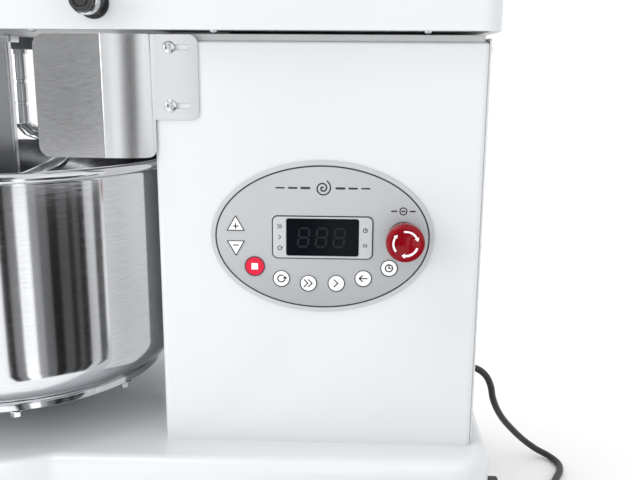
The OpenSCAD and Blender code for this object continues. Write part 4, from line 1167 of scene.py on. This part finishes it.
def glow(name, strength):
    """A softly uneven shining card."""
    made = bpy.data.materials.new(name)
    made.use_nodes = True
    tree = made.node_tree
    tree.nodes.remove(tree.nodes["Principled BSDF"])
    shine = tree.nodes.new("ShaderNodeEmission")
    level = node_of(tree, "ShaderNodeMapRange", From_Min=0.3, From_Max=0.7, To_Min=0.8 * strength,
                    To_Max=1.2 * strength)
    tree.links.new(noise_in(tree, (6, 6, 1.5), (0, 0, 0), 2.0), level.inputs["Value"])
    tree.links.new(level.outputs["Result"], shine.inputs["Strength"])
    tree.links.new(shine.outputs["Emission"], tree.nodes["Material Output"].inputs["Surface"])
    return made


def stand_card(name, rows, strength):
    """A card through rows of points, in metres, which only reflections see."""
    n = len(rows[0])
    mesh = bpy.data.meshes.new(name)
    mesh.from_pydata([p for row in rows for p in row], [],
                     [(i * n + k, i * n + k + 1, (i + 1) * n + k + 1, (i + 1) * n + k)
                      for i in range(len(rows) - 1) for k in range(n - 1)])
    mesh.materials.append(glow(name, strength))
    card = bpy.data.objects.new(name, mesh)
    card.visible_camera = card.visible_diffuse = card.visible_shadow = card.visible_transmission = False
    bpy.context.scene.collection.objects.link(card)


def make_surroundings():
    low = [(SURROUND_IN, SURROUND_LOW), (SURROUND_R, SURROUND_LOW), (SURROUND_R, SURROUND_MID)]
    high = [(SURROUND_R, SURROUND_MID), (SURROUND_R, SURROUND_TOP)]
    for name, stretches, corners in (("low", LOW_SURROUNDINGS, low), ("high", HIGH_SURROUNDINGS, high)):
        for number, (start, end, strength) in enumerate(stretches):
            rows = [[(SURROUND_AT[0] + x, SURROUND_AT[1] + y, z) for x, y in arc(0, 0, r, start, end, 4)]
                    for r, z in corners]
            stand_card("card_%s_%d" % (name, number), rows, strength)
    # A glowing card half a millimetre in front of the column's front face, which only reflections see:
    # painted light, so the steel shows the shaded front face of the column as lit.
    near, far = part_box("column_shell")
    rows = [[(x, near.y - 0.0005, z) for x in (0.06, far.x - 0.001)] for z in (0.15, 0.56)]
    stand_card("column_front_painted_light", rows, 0.9)


def make_studio():
    scene = bpy.context.scene
    scene.view_settings.view_transform = "Standard"
    world = bpy.data.worlds.new("studio")
    world.use_nodes = True
    world.node_tree.nodes["Background"].inputs["Color"].default_value = (1, 1, 1, 1)
    world.node_tree.nodes["Background"].inputs["Strength"].default_value = 1.05
    scene.world = world
    size, steps = 8.0, 48
    mesh = bpy.data.meshes.new("floor")
    ring = [(size * x, size * y, 0) for x, y in circle(0, 0, 1, steps)]
    mesh.from_pydata(ring, [], [list(range(steps))])
    paper = surface("floor_paper", (0.96, 0.96, 0.96), 0.7, spread=0.005, grain=4, bump=0.02)
    mesh.materials.append(paper)
    floor = bpy.data.objects.new("floor", mesh)
    scene.collection.objects.link(floor)
    softbox("front", (1.3, -1.5, 0.9), (0.05, -0.1, 0.35), 1.2, 15)
    softbox("top", (0.4, -0.9, 2.3), (0.15, 0, 0.1), 1.2, 26)
    softbox("side", (1.9, 1.6, 1.3), (0, 0.2, 0.4), 1.0, 4)
    make_surroundings()


for make in (make_screws, make_shield_screws, make_base, make_feet, make_buffers, make_column,
             make_rear_cover, make_shields, make_head, make_bowl, make_spiral, make_breaker_bar, make_guard,
             make_pivots, make_panel, make_display, make_keys, make_stop, dress_cad_nodes, make_studio):
    make()
